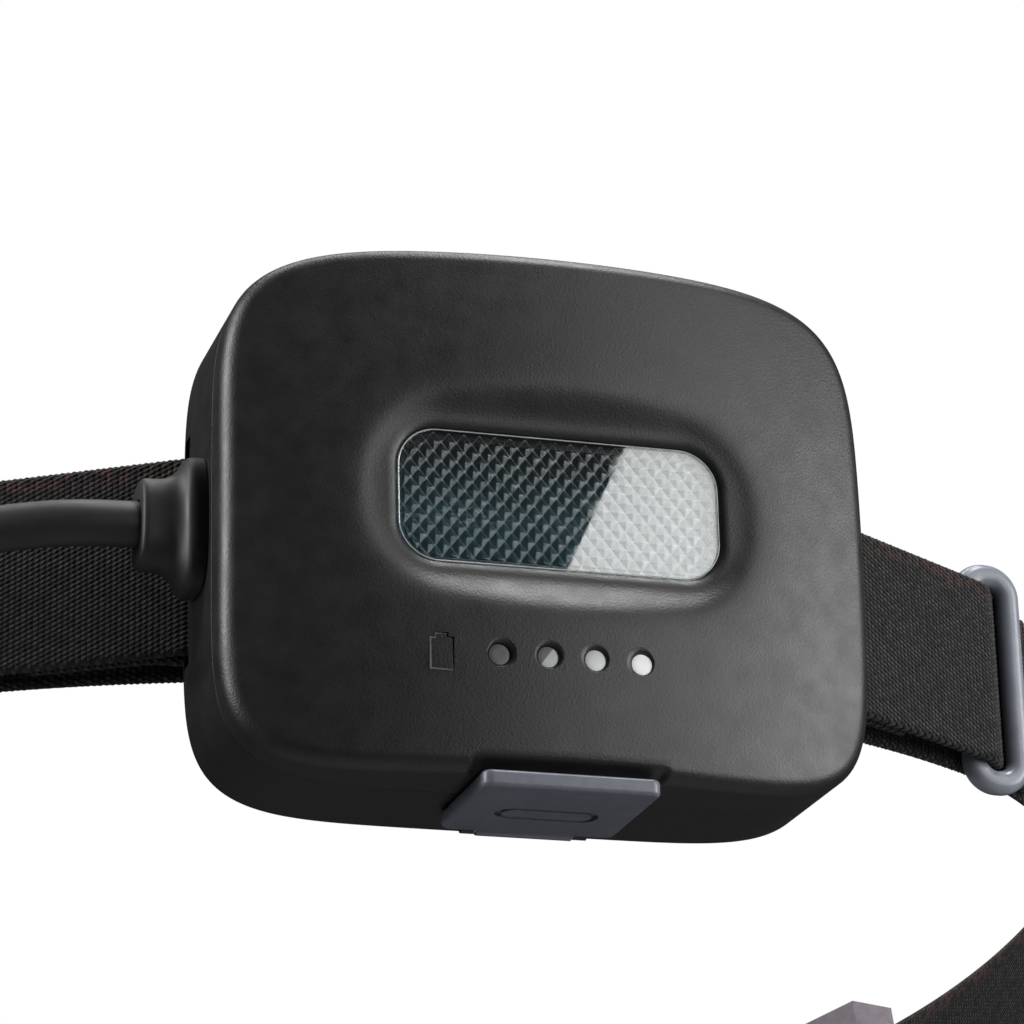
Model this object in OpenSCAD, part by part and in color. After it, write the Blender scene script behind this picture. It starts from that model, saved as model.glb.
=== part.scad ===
// Running headlamp: slim front lamp on an elastic head band, with a lead to a rear battery pack.
// Millimetres. +Z is up, the lamp shines along -Y, the wearer's head is on the +Y side.
// The origin is where the forehead band touches the middle of the forehead.

/* [Lamp] */
// Width of the lamp housing
lamp_w = 64; // [62:0.5:68]
// Height of the lamp housing
lamp_h = 51.7; // [50:0.1:56]
// Depth of the lamp housing, from the middle of the face to the back
lamp_d = 23.6; // [23.6:0.1:26]
// Squareness of the housing outline: 2 is an ellipse, more is squarer
outline_power = 5.6; // [4.5:0.1:7]
// Radius of the face, seen from above
crown_r = 87; // [80:1:120]
// Radius of the face, seen from the side
crown_side_r = 222; // [180:1:400]
// Depth of the front shell, down to the joint with the rear shell
front_shell_d = 10; // [9.5:0.1:10.5]
// Wall thickness of both shells
wall = 1.8; // [1.6:0.1:2]

/* [Lens and gauge] */
// Width of the lens
lens_w = 32; // [30:0.5:33]
// Height of the lens
lens_h = 13.4; // [12:0.1:13.6]
// Corner radius of the lens
lens_r = 4; // [3:0.5:5]
// Distance between two lights of the battery gauge
gauge_pitch = 4.63; // [4.4:0.01:5]
// Diameter of a light pipe
pipe_d = 2.2; // [1.8:0.1:2.3]

/* [Charging port] */
// Width of the port cover
cover_w = 17.2; // [16:0.1:18]
// Length of the port cover's plate
cover_l = 14.8; // [14.6:0.1:15]
// Thickness of the port cover
cover_t = 1.6; // [1.5:0.1:1.7]

/* [Head band] */
// Width of the webbing
band_w = 20; // [18:0.5:20]
// Thickness of the webbing
band_t = 1.4; // [1.2:0.1:1.4]
// Radius of the band round the sides and the back of the head
band_r = 102; // [100:1:104]
// Slope of the band as it drops towards the back, in degrees
band_tilt = 10; // [0:1:12]
// Diameter of the wire that the strap rings are made of
ring_wire_d = 2.6; // [2.5:0.1:2.8]

/* [Battery pack] */
// Width of the pack
pack_w = 76; // [76:1:80]
// Height of the pack
pack_h = 36; // [36:1:40]
// Diameter of the lithium-ion cell
cell_d = 18.4; // [18:0.1:18.6]
// Length of the lithium-ion cell
cell_l = 65; // [64:0.1:65.2]
// Diameter of the lead between the lamp and the pack
lead_d = 4.5; // [4:0.1:4.5]

/* [Hidden] */

$fn = 64;
eps = 0.01;
gap = 0.15;              // clearance all round a fixed piece in its pocket

// Lamp: local axes are X across, Y in from the middle of the face, Z up from its centre
lamp_y = -lamp_d - 1.8;
lamp_z = 0.4;
half_w = lamp_w / 2;
half_h = lamp_h / 2;
back_wall_y = lamp_d - wall;
outline_points = 96;
lens_z = 1.1;
lens_face_y = 2.9;
lens_step_y = 4.4;
lens_back_y = 5.4;
bezel_back_y = 6.4;
bezel_w = lens_w + 7;
bezel_h = lens_h + 6.2;
scoop_y = 2.7;
scoop_half_h = 11.5;
scoop_floor_half_h = 8.3;
scoop_w = 44;
flange_w = 1.2;
board_y = 13;
board_t = 1.2;
spreader_t = 1.6;
cup_x = 8.2;
cup_mouth_r = 6.6;
cup_floor_r = 2.9;
led_size = 3.4;
gauge_z = -14.95;
control_y = 11.6;
control_t = 1;
port_y = 9.95;
port_w = 8.94;
port_t = 3.26;
port_l = 7.3;
port_lip = 0.9;          // how far the port sits in from the underside
hinge_y = 17.3;
hinge_z = -half_h - 1.05;
knuckle_r = 1;
knuckle_half_w = 4.8;
cover_gap = 0.35;        // between the plate and the ears of the hinge
plate_y = hinge_y - knuckle_r - cover_gap - cover_l / 2;
ear_w = 1.3;
pin_r = 0.5;
pin_play = 0.05;
button_y = 15.2;
button_w = 14;
button_d = 5.6;
button_proud = 1;
button_skirt = 1.2;
switch_z = 18.2;
screw_x = 27;
screw_z = 19.5;
screw_r = 1;
screw_head_r = 1.9;
boss_r = 2.6;
seal_inset = 0.55;
seal_w = 0.7;
seal_h = 0.8;

// Side slots for the webbing
slot_y = 19.9;
slot_w = 1.9;
slot_h = 23.4;
slot_in = 26.2;          // inner end of the slot, from the middle
bar_in = 28.8;           // inner edge of the bar that the webbing goes round
pocket_wall = 1.4;

// Cable gland on the left wall
gland_y = 15.6;
gland_z = 0.4;

// Head band, seen from above, in the band's own plane
ring_at = [59.2, 15.26];
ring_angle = 33.5;
ring_half_l = 2.36;
ring_half_h = 11.6;
ring_corner_r = 2.4;
ring_section = [[1, 0.36], [0.75, 0.75], [0.36, 1]];
band_play = 0.38;
layer = ring_wire_d / 2 + band_play + band_t / 2;
ring_twist = atan(layer / (2 * ring_half_l));
ring_u = [cos(ring_angle), sin(ring_angle)];
ring_n = [sin(ring_angle), -cos(ring_angle)];
forehead_y = -band_t / 2;
join = ring_at + ring_half_l * ring_u - (band_t + 0.9) * ring_n;
forehead_r = (join[0] * join[0] + pow(join[1] - forehead_y, 2)) / (2 * (join[1] - forehead_y));
forehead_angle = asin(join[0] / forehead_r);
band_cy = join[1] + sqrt(band_r * band_r - join[0] * join[0]);
band_start = asin(join[0] / band_r);
band_end = 180 - asin((pack_w / 2 - 7) / band_r);
drop_ease = 6;           // length over which the slope of the band begins
webbing_step = 4;        // degrees between two sections of the webbing
adjuster_at = 114;       // degrees round the band from the front
adjuster_l = 15;
adjuster_play = 1.3;
adjuster_bar = 3;
adjuster_t = 1.8;
adjuster_edge = 4;

// Battery pack
pack_face_r = band_r - 2.5;
pack_front_y = band_cy + 90;
pack_split_y = band_cy + 109;
pack_back_y = band_cy + 124.6;
pack_corner_r = 7;
pack_slot_h = band_w + 2;
pack_slot_in = 30;       // inner end of a slot for the webbing, from the middle
pack_pocket_w = 54;      // where the front wall is thin, to make room for the cell
pack_z = -drop(band_cy + band_r);
cell_y = band_cy + 112;
cell_z = -2;
pack_screw_x = pack_w / 2 - 6.5;
pack_screw_z = pack_h / 2 - 4;
pack_seal_h = 0.8;
pack_gland_y = band_cy + 103;   // where the lead's last points are

// Lead: hand-laid points to the side of the head, then a rule along the band
lead_r = lead_d / 2;
clip_t = 0.9;
lead_off = band_t / 2 + gap + clip_t + 0.1 + lead_r;
clip_angles = [69, 93, 117, 135];
clip_l = 6;
clip_play = 0.3;         // round the lead in a clip
lead_front = [[-28.6, -9.8, 0.8], [-33, -9.8, 0.8], [-38, -9.8, 0.8], [-45, -9.2, 0.6],
              [-52, -6.8, 0.1], [-59, -2.6, -0.3], [-65.5, 3.8, -0.4], [-71.5, 12, -0.5],
              [-79, 25, -1.4], [-87, 38, -3], [-93.6, 49.2, -4.7]];
lead_arc = [for (a = [66 : 6 : 138]) band_point(-a, band_r + lead_off)];
lead_back = [for (p = [[-66, 83.3, 2.9], [-61, 88.9, 2], [-56, 94.2, 1.3], [-51.4, 98.8, 0.6],
                       [-48, 101.6, 0.2], [-44.6, 103, 0], [-40, 103, 0], [-35, 103, 0]])
             [p[0], band_cy + p[1], pack_z + p[2]]];
lead_route = concat(lead_front, lead_arc, lead_back);

// How far the middle of the webbing lies below the forehead at a depth y
function drop(y) = tan(band_tilt) * (sqrt(pow(max(y - join[1], 0), 2) + pow(drop_ease, 2)) - drop_ease);
// A point round the band from the front: positive angles are on the right
function band_point(a, r) = [r * sin(a), band_cy - r * cos(a), -drop(band_cy - band_r * cos(a))];
function band_slope(a) = atan(tan(band_tilt) * sin(abs(a)));
function unit(v) = v / norm(v);

module at_pack() {
    translate([0, 0, pack_z]) children();
}

module at_lamp() {
    translate([0, lamp_y, lamp_z]) children();
}

// Extrudes a flat shape, drawn in X and Z, from one depth to another
module along_y(from, to) {
    translate([0, to, 0]) rotate([90, 0, 0]) linear_extrude(to - from) children();
}

module outline(inset = 0) {
    a = half_w - inset;
    b = half_h - inset;
    polygon([for (i = [0 : outline_points - 1])
        let (t = (i + 0.5) * 360 / outline_points, c = cos(t), s = sin(t))
        [a * sign(c) * pow(abs(c), 2 / outline_power), b * sign(s) * pow(abs(s), 2 / outline_power)]]);
}

module rounded(w, h, r) {
    square([w - 2 * r, h], center = true);
    square([w, h - 2 * r], center = true);
    for (x = [-1, 1], y = [-1, 1]) translate([x * (w / 2 - r), y * (h / 2 - r)]) circle(r);
}

// Solid whose front is the crowned face, set in by a distance
module crowned(inset) {
    translate([0, crown_r, 0]) rotate_extrude($fn = 180) intersection() {
        translate([crown_r - crown_side_r, 0]) circle(crown_side_r - inset, $fn = 360);
        translate([0, -half_h - 2]) square([crown_r, lamp_h + 4]);
    }
}

module screw_places(x, z) {
    for (i = [-1, 1], k = [-1, 1]) translate([i * x, 0, k * z]) children();
}

module rod_y(r, from, to) {
    translate([0, to, 0]) rotate([90, 0, 0]) cylinder(r = r, h = to - from);
}

module rod_x(r, from, to) {
    translate([from, 0, 0]) rotate([0, 90, 0]) cylinder(r = r, h = to - from);
}

// Oval standing on its short side, along X
module oval_x(w, h, from, to) {
    translate([from, 0, 0]) rotate([90, 0, 90]) linear_extrude(to - from) rounded(w, h, w / 2 - eps);
}

module port_hole() {
    translate([0, port_y, -half_h - 1]) linear_extrude(wall + 2) rounded(port_w + 1, port_t + 0.8, 1.9);
}

module seal_groove(play) {
    along_y(front_shell_d - seal_h / 2 - play, front_shell_d + seal_h / 2 + play) difference() {
        outline(seal_inset - play);
        outline(seal_inset + seal_w + play);
    }
}

module front_shell() color([0.13, 0.13, 0.14]) at_lamp() difference() {
    union() {
        difference() {
            intersection() {
                along_y(0, front_shell_d) outline();
                crowned(0);
            }
            intersection() {
                along_y(0, front_shell_d + 1) outline(wall);
                crowned(wall);
            }
        }
        intersection() {
            translate([0, 0, lens_z]) along_y(0, bezel_back_y) rounded(bezel_w, bezel_h, lens_r + 3);
            crowned(0);
        }
        intersection() {
            screw_places(screw_x, screw_z) rod_y(boss_r, 0, front_shell_d);
            crowned(0);
            along_y(0, front_shell_d) outline();
        }
    }
    scoop();
    translate([0, 0, lens_z]) {
        along_y(-1, lens_step_y) rounded(lens_w + 2 * gap, lens_h + 2 * gap, lens_r + gap);
        along_y(lens_step_y - eps, bezel_back_y + 1)
            rounded(lens_w + 2 * flange_w + 2 * gap, lens_h + 2 * flange_w + 2 * gap, lens_r + flange_w);
    }
    for (i = [-1.5 : 1.5]) translate([i * gauge_pitch, 0, gauge_z]) rod_y(pipe_d / 2 + 0.1, -1, 9);
    gauge_icon();
    screw_places(screw_x, screw_z) rod_y(screw_r + 0.05, 5.5, front_shell_d + 1);
    seal_groove(0);
    port_hole();
}

// Shallow trough round the lens; the crown of the face ends it left and right
module scoop() {
    translate([0, 0, lens_z]) intersection() {
        rotate([90, 0, 90]) translate([0, 0, -scoop_w / 2]) linear_extrude(scoop_w)
            polygon([[-1, -scoop_half_h - 1.2], [scoop_y, -scoop_floor_half_h],
                     [scoop_y, scoop_floor_half_h], [-1, scoop_half_h + 1.2]]);
        along_y(-2, scoop_y) rounded(scoop_w, 2 * scoop_half_h + 2, 9);
    }
}

// Engraved battery sign beside the gauge
module gauge_icon() {
    translate([-2.6 * gauge_pitch - 0.3, 0, gauge_z]) along_y(-1, 1.25) {
        difference() {
            square([2.4, 3.2], center = true);
            square([2, 2.8], center = true);
        }
        translate([0, 1.75]) square([1.5, 0.3], center = true);
    }
}

module rear_shell() color([0.12, 0.12, 0.13]) at_lamp() difference() {
    union() {
        difference() {
            along_y(front_shell_d, lamp_d) outline();
            along_y(front_shell_d - 1, back_wall_y) outline(wall);
        }
        intersection() {
            along_y(front_shell_d, lamp_d) outline();
            union() {
                screw_places(screw_x, screw_z) rod_y(boss_r, front_shell_d, lamp_d);
                for (s = [-1, 1]) slot_block(s);
            }
        }
        hinge_ears();
    }
    for (s = [-1, 1]) slot_cut(s);
    screw_places(screw_x, screw_z) {
        rod_y(screw_r + 0.1, front_shell_d - 1, lamp_d + 1);
        rod_y(screw_head_r + gap, lamp_d - 2.2, lamp_d + 1);
    }
    seal_groove(0);
    port_hole();
    translate([0, gland_y, gland_z]) oval_x(5.6, 7.6, -half_w - 1, -half_w + wall + 1);
    translate([0, button_y, half_h - wall - 1]) linear_extrude(wall + 2)
        rounded(button_w + 0.7, button_d + 0.7, button_d / 2 + 0.3);
    translate([0, hinge_y, hinge_z]) rod_x(pin_r, -knuckle_half_w - ear_w - 1, knuckle_half_w + ear_w + 1);
}

// Wall round the slot, so that the slot doesn't open into the lamp
module slot_block(side) {
    mid = (slot_in - pocket_wall + half_w) / 2;
    translate([side * mid, 0, 0]) along_y(slot_y - pocket_wall, lamp_d)
        square([half_w - slot_in + pocket_wall, slot_h + 2 * pocket_wall], center = true);
}

// The webbing goes in at the side, round a bar, and out at the back
module slot_cut(side) {
    translate([side * (slot_in + half_w + 1) / 2, 0, 0]) along_y(slot_y, slot_y + slot_w)
        square([half_w + 1 - slot_in, slot_h], center = true);
    translate([side * (slot_in + bar_in) / 2, 0, 0]) along_y(slot_y, lamp_d + 1)
        square([bar_in - slot_in, slot_h], center = true);
}

module hinge_ears() {
    for (s = [-1, 1]) translate([s * (knuckle_half_w + 0.15 + ear_w / 2), hinge_y, 0]) {
        translate([0, 0, hinge_z]) rod_x(knuckle_r, -ear_w / 2, ear_w / 2);
        translate([-ear_w / 2, -knuckle_r, hinge_z]) cube([ear_w, 2 * knuckle_r, -half_h - hinge_z + 0.3]);
    }
}

// The seal stops at both sides of the charging port
module shell_seal() color([0.25, 0.25, 0.27]) at_lamp() difference() {
    seal_groove(0);
    port_hole();
}

module lens() color([0.8, 0.9, 0.92, 0.5]) at_lamp() translate([0, 0, lens_z]) {
    along_y(lens_face_y, lens_back_y) rounded(lens_w, lens_h, lens_r);
    along_y(lens_step_y, lens_back_y)
        rounded(lens_w + 2 * flange_w, lens_h + 2 * flange_w, lens_r + flange_w);
}

module lens_gasket() color([0.2, 0.2, 0.2]) at_lamp() translate([0, 0, lens_z])
    along_y(lens_back_y, bezel_back_y) difference() {
        rounded(lens_w + 2 * flange_w, lens_h + 2 * flange_w, lens_r + flange_w);
        rounded(lens_w - 0.8, lens_h - 0.8, lens_r);
    }

module reflector() color([0.85, 0.87, 0.88]) at_lamp() translate([0, 0, lens_z]) difference() {
    along_y(bezel_back_y, board_y) rounded(lens_w + 2, lens_h + 2, 3);
    for (s = [-1, 1]) translate([s * cup_x, board_y, 0]) rotate([90, 0, 0]) rotate_extrude()
        polygon(concat([[0, -1], [cup_floor_r, -1]],
            [for (i = [0 : 8]) let (k = i / 8)
                [cup_floor_r + (cup_mouth_r - cup_floor_r) * sqrt(k), k * (board_y - bezel_back_y)]],
            [[cup_mouth_r, board_y - bezel_back_y + 1], [0, board_y - bezel_back_y + 1]]));
}

module led_board() color([0.9, 0.9, 0.9]) at_lamp() translate([0, 0, lens_z])
    along_y(board_y, board_y + board_t) rounded(lens_w + 2, lens_h + 2, 2);

module leds() color([0.95, 0.85, 0.3]) at_lamp() for (s = [-1, 1])
    translate([s * cup_x, board_y - 0.9, lens_z]) {
        translate([-led_size / 2, 0.4, -led_size / 2]) cube([led_size, 0.5, led_size]);
        rod_y(1.4, 0, 0.4 + eps);
    }

module heat_spreader() color([0.75, 0.75, 0.77]) at_lamp() translate([0, 0, lens_z])
    along_y(board_y + board_t, board_y + board_t + spreader_t) difference() {
        rounded(lens_w + 8, lens_h + 6, 2);
        for (x = [-1, 1]) translate([x * (lens_w / 2 + 2.2), 0]) circle(1.1);
    }

module light_pipes() color([0.9, 0.9, 0.9]) at_lamp() {
    for (i = [-1.5 : 1.5]) translate([i * gauge_pitch, 0, gauge_z]) rod_y(pipe_d / 2, 1.1, 10.4);
    along_y(5, 6.2) translate([0, gauge_z]) square([3.6 * gauge_pitch, 1.4], center = true);
}

module control_board() color([0.05, 0.3, 0.2]) at_lamp() along_y(control_y, control_y + control_t)
    translate([0, -15.9]) rounded(45, 12.8, 1);

module gauge_leds() color([0.9, 0.95, 0.9]) at_lamp() for (i = [-1.5 : 1.5])
    translate([i * gauge_pitch - 0.8, control_y - 0.8, gauge_z - 0.4]) cube([1.6, 0.8, 0.8]);

module usb_port() color([0.8, 0.8, 0.82]) at_lamp() translate([0, port_y, -half_h + port_lip]) {
    difference() {
        linear_extrude(port_l) rounded(port_w, port_t, port_t / 2 - eps);
        translate([0, 0, -1]) linear_extrude(port_l) rounded(port_w - 0.6, port_t - 0.6, 1.3);
    }
    translate([-3.2, -0.35, 1.5]) cube([6.4, 0.7, port_l - 2]);
}

module port_cover() color([0.36, 0.38, 0.43]) at_lamp() {
    translate([0, plate_y, -half_h - 0.05 - cover_t]) difference() {
        linear_extrude(cover_t) rounded(cover_w, cover_l, 1.2);
        translate([0, port_y - plate_y, -1]) linear_extrude(1.3) difference() {
            rounded(10, 3.4, 1.69);
            rounded(9, 2.4, 1.19);
        }
    }
    translate([0, port_y, -half_h - 0.1]) linear_extrude(port_lip - 0.1) rounded(7.6, 1.9, 0.9);
    difference() {
        union() {
            translate([0, hinge_y, hinge_z]) rod_x(knuckle_r, -knuckle_half_w, knuckle_half_w);
            translate([-knuckle_half_w, plate_y + cover_l / 2 - 0.3, -half_h - 0.05 - cover_t])
                cube([2 * knuckle_half_w, knuckle_r + cover_gap + 0.3, cover_t]);
        }
        translate([0, hinge_y, hinge_z]) rod_x(pin_r + pin_play, -knuckle_half_w - 1, knuckle_half_w + 1);
    }
}

module cover_pin() color([0.7, 0.7, 0.72]) at_lamp() translate([0, hinge_y, hinge_z])
    rod_x(pin_r, -knuckle_half_w - ear_w, knuckle_half_w + ear_w);

module power_button() color([0.36, 0.38, 0.43]) at_lamp() translate([0, button_y, 0]) {
    translate([0, 0, half_h - wall - button_skirt]) linear_extrude(wall + button_skirt + button_proud)
        rounded(button_w, button_d, button_d / 2 - eps);
    translate([0, 0, half_h - wall - button_skirt]) linear_extrude(0.8)
        rounded(button_w + 2, button_d + 2, button_d / 2);
}

module tact_switch() color([0.3, 0.3, 0.32]) at_lamp() translate([0, button_y, switch_z + 1]) {
    translate([-3, -2.6, 0]) cube([6, 5.2, 2.2]);
    translate([0, 0, 2.2]) cylinder(r = 1.3, h = 0.6);
}

module switch_board() color([0.05, 0.3, 0.2]) at_lamp() translate([0, button_y, switch_z])
    linear_extrude(1) rounded(18, 6.4, 1);

module shell_screws() color([0.6, 0.6, 0.62]) at_lamp() screw_places(screw_x, screw_z) difference() {
    union() {
        rod_y(screw_r, 6, lamp_d - 1);
        rod_y(screw_head_r, lamp_d - 2.2, lamp_d - 0.9);
    }
    rod_y(0.8, lamp_d - 1.6, lamp_d, $fn = 6);
}

module cable_gland() color([0.1, 0.1, 0.1]) at_lamp() translate([0, gland_y, gland_z]) difference() {
    union() {
        oval_x(9, 13.4, -half_w - 2.1, -half_w);
        oval_x(7.4, 10.8, -half_w - 3.1, -half_w);
        oval_x(6.4, 8.9, -half_w - 6.1, -half_w);
        oval_x(5.4, 7.4, -half_w, -half_w + wall);
        oval_x(5.4, 10, -half_w + wall, -half_w + wall + 1.4);
    }
    rod_x(lead_r, -half_w - 7, -half_w + wall + 2);
}

// Round tube along a list of points
module tube(points, r, sides) {
    n = len(points);
    rings = [for (i = [0 : n - 1])
        let (t = unit(points[min(i + 1, n - 1)] - points[max(i - 1, 0)]),
             s = unit(cross(t, [0, 0, 1])), u = cross(s, t))
        [for (k = [0 : sides - 1]) points[i] + r * (cos(k * 360 / sides) * s + sin(k * 360 / sides) * u)]];
    polyhedron([for (ring = rings) each ring],
        concat([[for (k = [0 : sides - 1]) k]],
            [for (i = [0 : n - 2], k = [0 : sides - 1])
                let (a = i * sides + k, b = i * sides + (k + 1) % sides) [a, a + sides, b + sides, b]],
            [[for (k = [sides - 1 : -1 : 0]) (n - 1) * sides + k]]));
}

module lead() color([0.1, 0.1, 0.1]) tube(lead_route, lead_r - 0.02, 10);

// Puts a piece, drawn on the band's middle with its outside towards -Y, at a place round the band
module round_band(a) {
    translate(band_point(a, band_r)) rotate([0, 0, a]) rotate([0, sign(a) * band_slope(a), 0]) children();
}

module lead_clips() color([0.14, 0.14, 0.15]) for (a = clip_angles) round_band(-a) difference() {
    union() {
        translate([-clip_l / 2, -band_t / 2 - gap - clip_t, -band_w / 2 - gap - 1.2])
            cube([clip_l, band_t + 2 * gap + 2 * clip_t, band_w + 2 * gap + 2.4]);
        translate([0, -lead_off, 0]) rod_x(lead_r + 1.1, -clip_l / 2, clip_l / 2);
    }
    translate([-clip_l, -band_t / 2 - gap, -band_w / 2 - gap])
        cube([2 * clip_l, band_t + 2 * gap, band_w + 2 * gap]);
    translate([0, -lead_off, 0]) rod_x(lead_r + clip_play, -clip_l, clip_l);
}

// Webbing standing on edge along a list of points, each with the direction that it faces
module webbing(points, faces) {
    n = len(points);
    corners = [[-1, -1], [1, -1], [1, 1], [-1, 1]];
    polyhedron([for (i = [0 : n - 1]) for (c = corners)
            points[i] + c[0] * band_t / 2 * faces[i] + [0, 0, c[1] * band_w / 2]],
        concat([[3, 2, 1, 0]],
            [for (i = [0 : n - 2], k = [0 : 3])
                let (a = 4 * i + k, b = 4 * i + (k + 1) % 4) [a, b, b + 4, a + 4]],
            [[4 * n - 4, 4 * n - 3, 4 * n - 2, 4 * n - 1]]));
}

// Webbing standing on edge along straight runs between points
module ribbon(points) {
    translate([0, 0, -band_w / 2]) linear_extrude(band_w) {
        for (i = [0 : len(points) - 2]) let (v = points[i + 1] - points[i])
            translate(points[i]) rotate(atan2(v[1], v[0])) translate([0, -band_t / 2])
                square([norm(v), band_t]);
        for (i = [1 : len(points) - 2]) translate(points[i]) circle(band_t / 2, $fn = 32);
    }
}

module forehead_band() color([0.1, 0.09, 0.09]) translate([0, forehead_y + forehead_r, 0])
    rotate([0, 0, -forehead_angle - 90]) rotate_extrude(angle = 2 * forehead_angle, $fn = 180)
        translate([forehead_r - band_t / 2, -band_w / 2]) square([band_t, band_w]);

// Outer webbing: sewn behind itself, round the bar of the lamp, out over the ring's near bar and
// in behind its far bar
module strap_right() color([0.11, 0.11, 0.11]) {
    mid_y = lamp_y + slot_y + slot_w / 2;
    turn_x = (slot_in + bar_in) / 2;
    over = ring_at - ring_half_l * ring_u + layer * ring_n;
    under = ring_at + ring_half_l * ring_u;
    back_y = lamp_y + lamp_d + band_t / 2 + 0.1;
    tail = [for (a = [4, 8]) let (p = band_point(band_start + a * 0.6, band_r + band_t + 0.05))
            [p[0], p[1]]];
    ribbon([[45.4, 5.2], [34.5, back_y], [turn_x, back_y], [turn_x, mid_y], [half_w, mid_y],
            over, under, tail[0], tail[1]]);
}

module strap_left() mirror([1, 0, 0]) strap_right();

// Wire ring that joins the outer webbing to the band, its section stepped towards a circle
module ring_right() color([0.5, 0.52, 0.57]) {
    shift = ring_half_l * tan(ring_twist);
    w = 2 * ring_half_l / cos(ring_twist);
    translate([ring_at[0] + ring_n[0] * shift, ring_at[1] + ring_n[1] * shift, 0])
        rotate([0, 0, ring_angle - ring_twist]) for (k = ring_section)
            along_y(-k[1] * ring_wire_d / 2, k[1] * ring_wire_d / 2) difference() {
                rounded(w + k[0] * ring_wire_d, 2 * ring_half_h + k[0] * ring_wire_d,
                        ring_corner_r + k[0] * ring_wire_d / 2);
                rounded(w - k[0] * ring_wire_d, 2 * ring_half_h - k[0] * ring_wire_d,
                        ring_corner_r - k[0] * ring_wire_d / 2);
            }
}

module ring_left() mirror([1, 0, 0]) ring_right();

module side_band_right() color([0.11, 0.11, 0.11]) {
    steps = ceil((band_end - band_start) / webbing_step);
    angles = [for (i = [0 : steps]) band_start + (band_end - band_start) * i / steps];
    webbing([for (a = angles) band_point(a, band_r)], [for (a = angles) [sin(a), -cos(a), 0]]);
}

module side_band_left() mirror([1, 0, 0]) side_band_right();

// Ring about the axis that the adjuster travels round, between two distances from the band's middle
module about_head(from, to) {
    centre = [0, band_cy, -drop(band_cy)];
    reach = norm(band_point(adjuster_at, band_r) - centre);
    translate(centre) rotate([-band_tilt, 0, 0]) translate([0, 0, -band_w]) difference() {
        cylinder(r = reach + to, h = 2 * band_w, $fn = 180);
        translate([0, 0, -1]) cylinder(r = reach + from, h = 2 * band_w + 2, $fn = 180);
    }
}

// Three-bar slider: one bar over the webbing, two under it, all curved like the band
module adjuster() color([0.36, 0.36, 0.4]) {
    out = band_t / 2 + adjuster_play;
    end = (adjuster_l - adjuster_bar) / 2;
    round_band(adjuster_at) for (s = [-1, 1])
        translate([0, 0, s * (band_w / 2 + 0.4 + adjuster_edge / 2)])
            cube([adjuster_l, 2 * (out + adjuster_t), adjuster_edge], center = true);
    intersection() {
        round_band(adjuster_at) for (x = [-end, end]) translate([x, out + adjuster_t / 2, 0])
            cube([adjuster_bar, 2 * adjuster_t, band_w + 2], center = true);
        about_head(-out - adjuster_t, -out);
    }
    intersection() {
        round_band(adjuster_at) translate([0, -out - adjuster_t / 2, 0])
            cube([adjuster_bar, 2 * adjuster_t, band_w + 2], center = true);
        about_head(out, out + adjuster_t);
    }
}

module pack_block(inset, from, to) {
    along_y(from, to) rounded(pack_w - 2 * inset, pack_h - 2 * inset, pack_corner_r - inset);
}

module head_side(r) {
    translate([0, band_cy, -pack_h]) cylinder(r = r, h = 2 * pack_h, $fn = 180);
}

module pack_base() color([0.4, 0.38, 0.42]) at_pack() difference() {
    union() {
        difference() {
            pack_block(0, pack_front_y, pack_split_y);
            difference() {
                pack_block(wall, pack_front_y, pack_split_y + 1);
                head_side(band_r + 2.8);
            }
            difference() {
                along_y(pack_front_y, pack_split_y)
                    square([pack_pocket_w, pack_h - 2 * wall], center = true);
                head_side(pack_face_r + wall);
            }
        }
        intersection() {
            screw_places(pack_screw_x, pack_screw_z) rod_y(boss_r, pack_front_y, pack_split_y);
            pack_block(0, pack_front_y, pack_split_y);
        }
    }
    head_side(pack_face_r);
    intersection() {
        for (s = [-1, 1]) translate([s * (pack_slot_in + pack_w / 2), pack_split_y - pack_w / 2, 0])
            cube([pack_w, pack_w, pack_slot_h], center = true);
        difference() {
            head_side(band_r + band_t / 2 + 0.25);
            head_side(band_r - band_t / 2 - 0.25);
        }
    }
    screw_places(pack_screw_x, pack_screw_z) {
        rod_y(screw_r + 0.1, pack_front_y - 1, pack_split_y + 1);
        rod_y(screw_head_r + gap, pack_front_y - 1, pack_front_y + 7);
    }
    translate([0, pack_gland_y, 0]) rod_x(3.6, -pack_w / 2 - 1, -pack_w / 2 + wall + 1);
}

module pack_cover() color([0.13, 0.13, 0.14]) at_pack() difference() {
    union() {
        difference() {
            pack_block(0, pack_split_y + pack_seal_h, pack_back_y);
            pack_block(wall, pack_split_y, pack_back_y - wall);
        }
        intersection() {
            screw_places(pack_screw_x, pack_screw_z) rod_y(boss_r, pack_split_y + pack_seal_h, pack_back_y);
            pack_block(0, pack_split_y, pack_back_y);
        }
    }
    screw_places(pack_screw_x, pack_screw_z) rod_y(screw_r + 0.05, pack_split_y, pack_split_y + 9);
}

module pack_seal() color([0.25, 0.25, 0.27]) at_pack()
    along_y(pack_split_y, pack_split_y + pack_seal_h) difference() {
        rounded(pack_w - 0.8, pack_h - 0.8, pack_corner_r - 0.4);
        rounded(pack_w - 2.4, pack_h - 2.4, pack_corner_r - 1.2);
    }

module pack_gland() color([0.1, 0.1, 0.1]) at_pack() translate([0, pack_gland_y, 0]) difference() {
    union() {
        rod_x(5, -pack_w / 2 - 1.8, -pack_w / 2);
        rod_x(4, -pack_w / 2 - 5, -pack_w / 2);
        rod_x(3.5, -pack_w / 2, -pack_w / 2 + wall);
        rod_x(3.9, -pack_w / 2 + wall, -pack_w / 2 + wall + 1.2);
    }
    rod_x(lead_r, -pack_w / 2 - 6, -pack_w / 2 + wall + 2);
}

module cell() color([0.1, 0.35, 0.6]) at_pack() translate([0, cell_y, cell_z]) {
    rod_x(cell_d / 2, -cell_l / 2, cell_l / 2);
}

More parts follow.
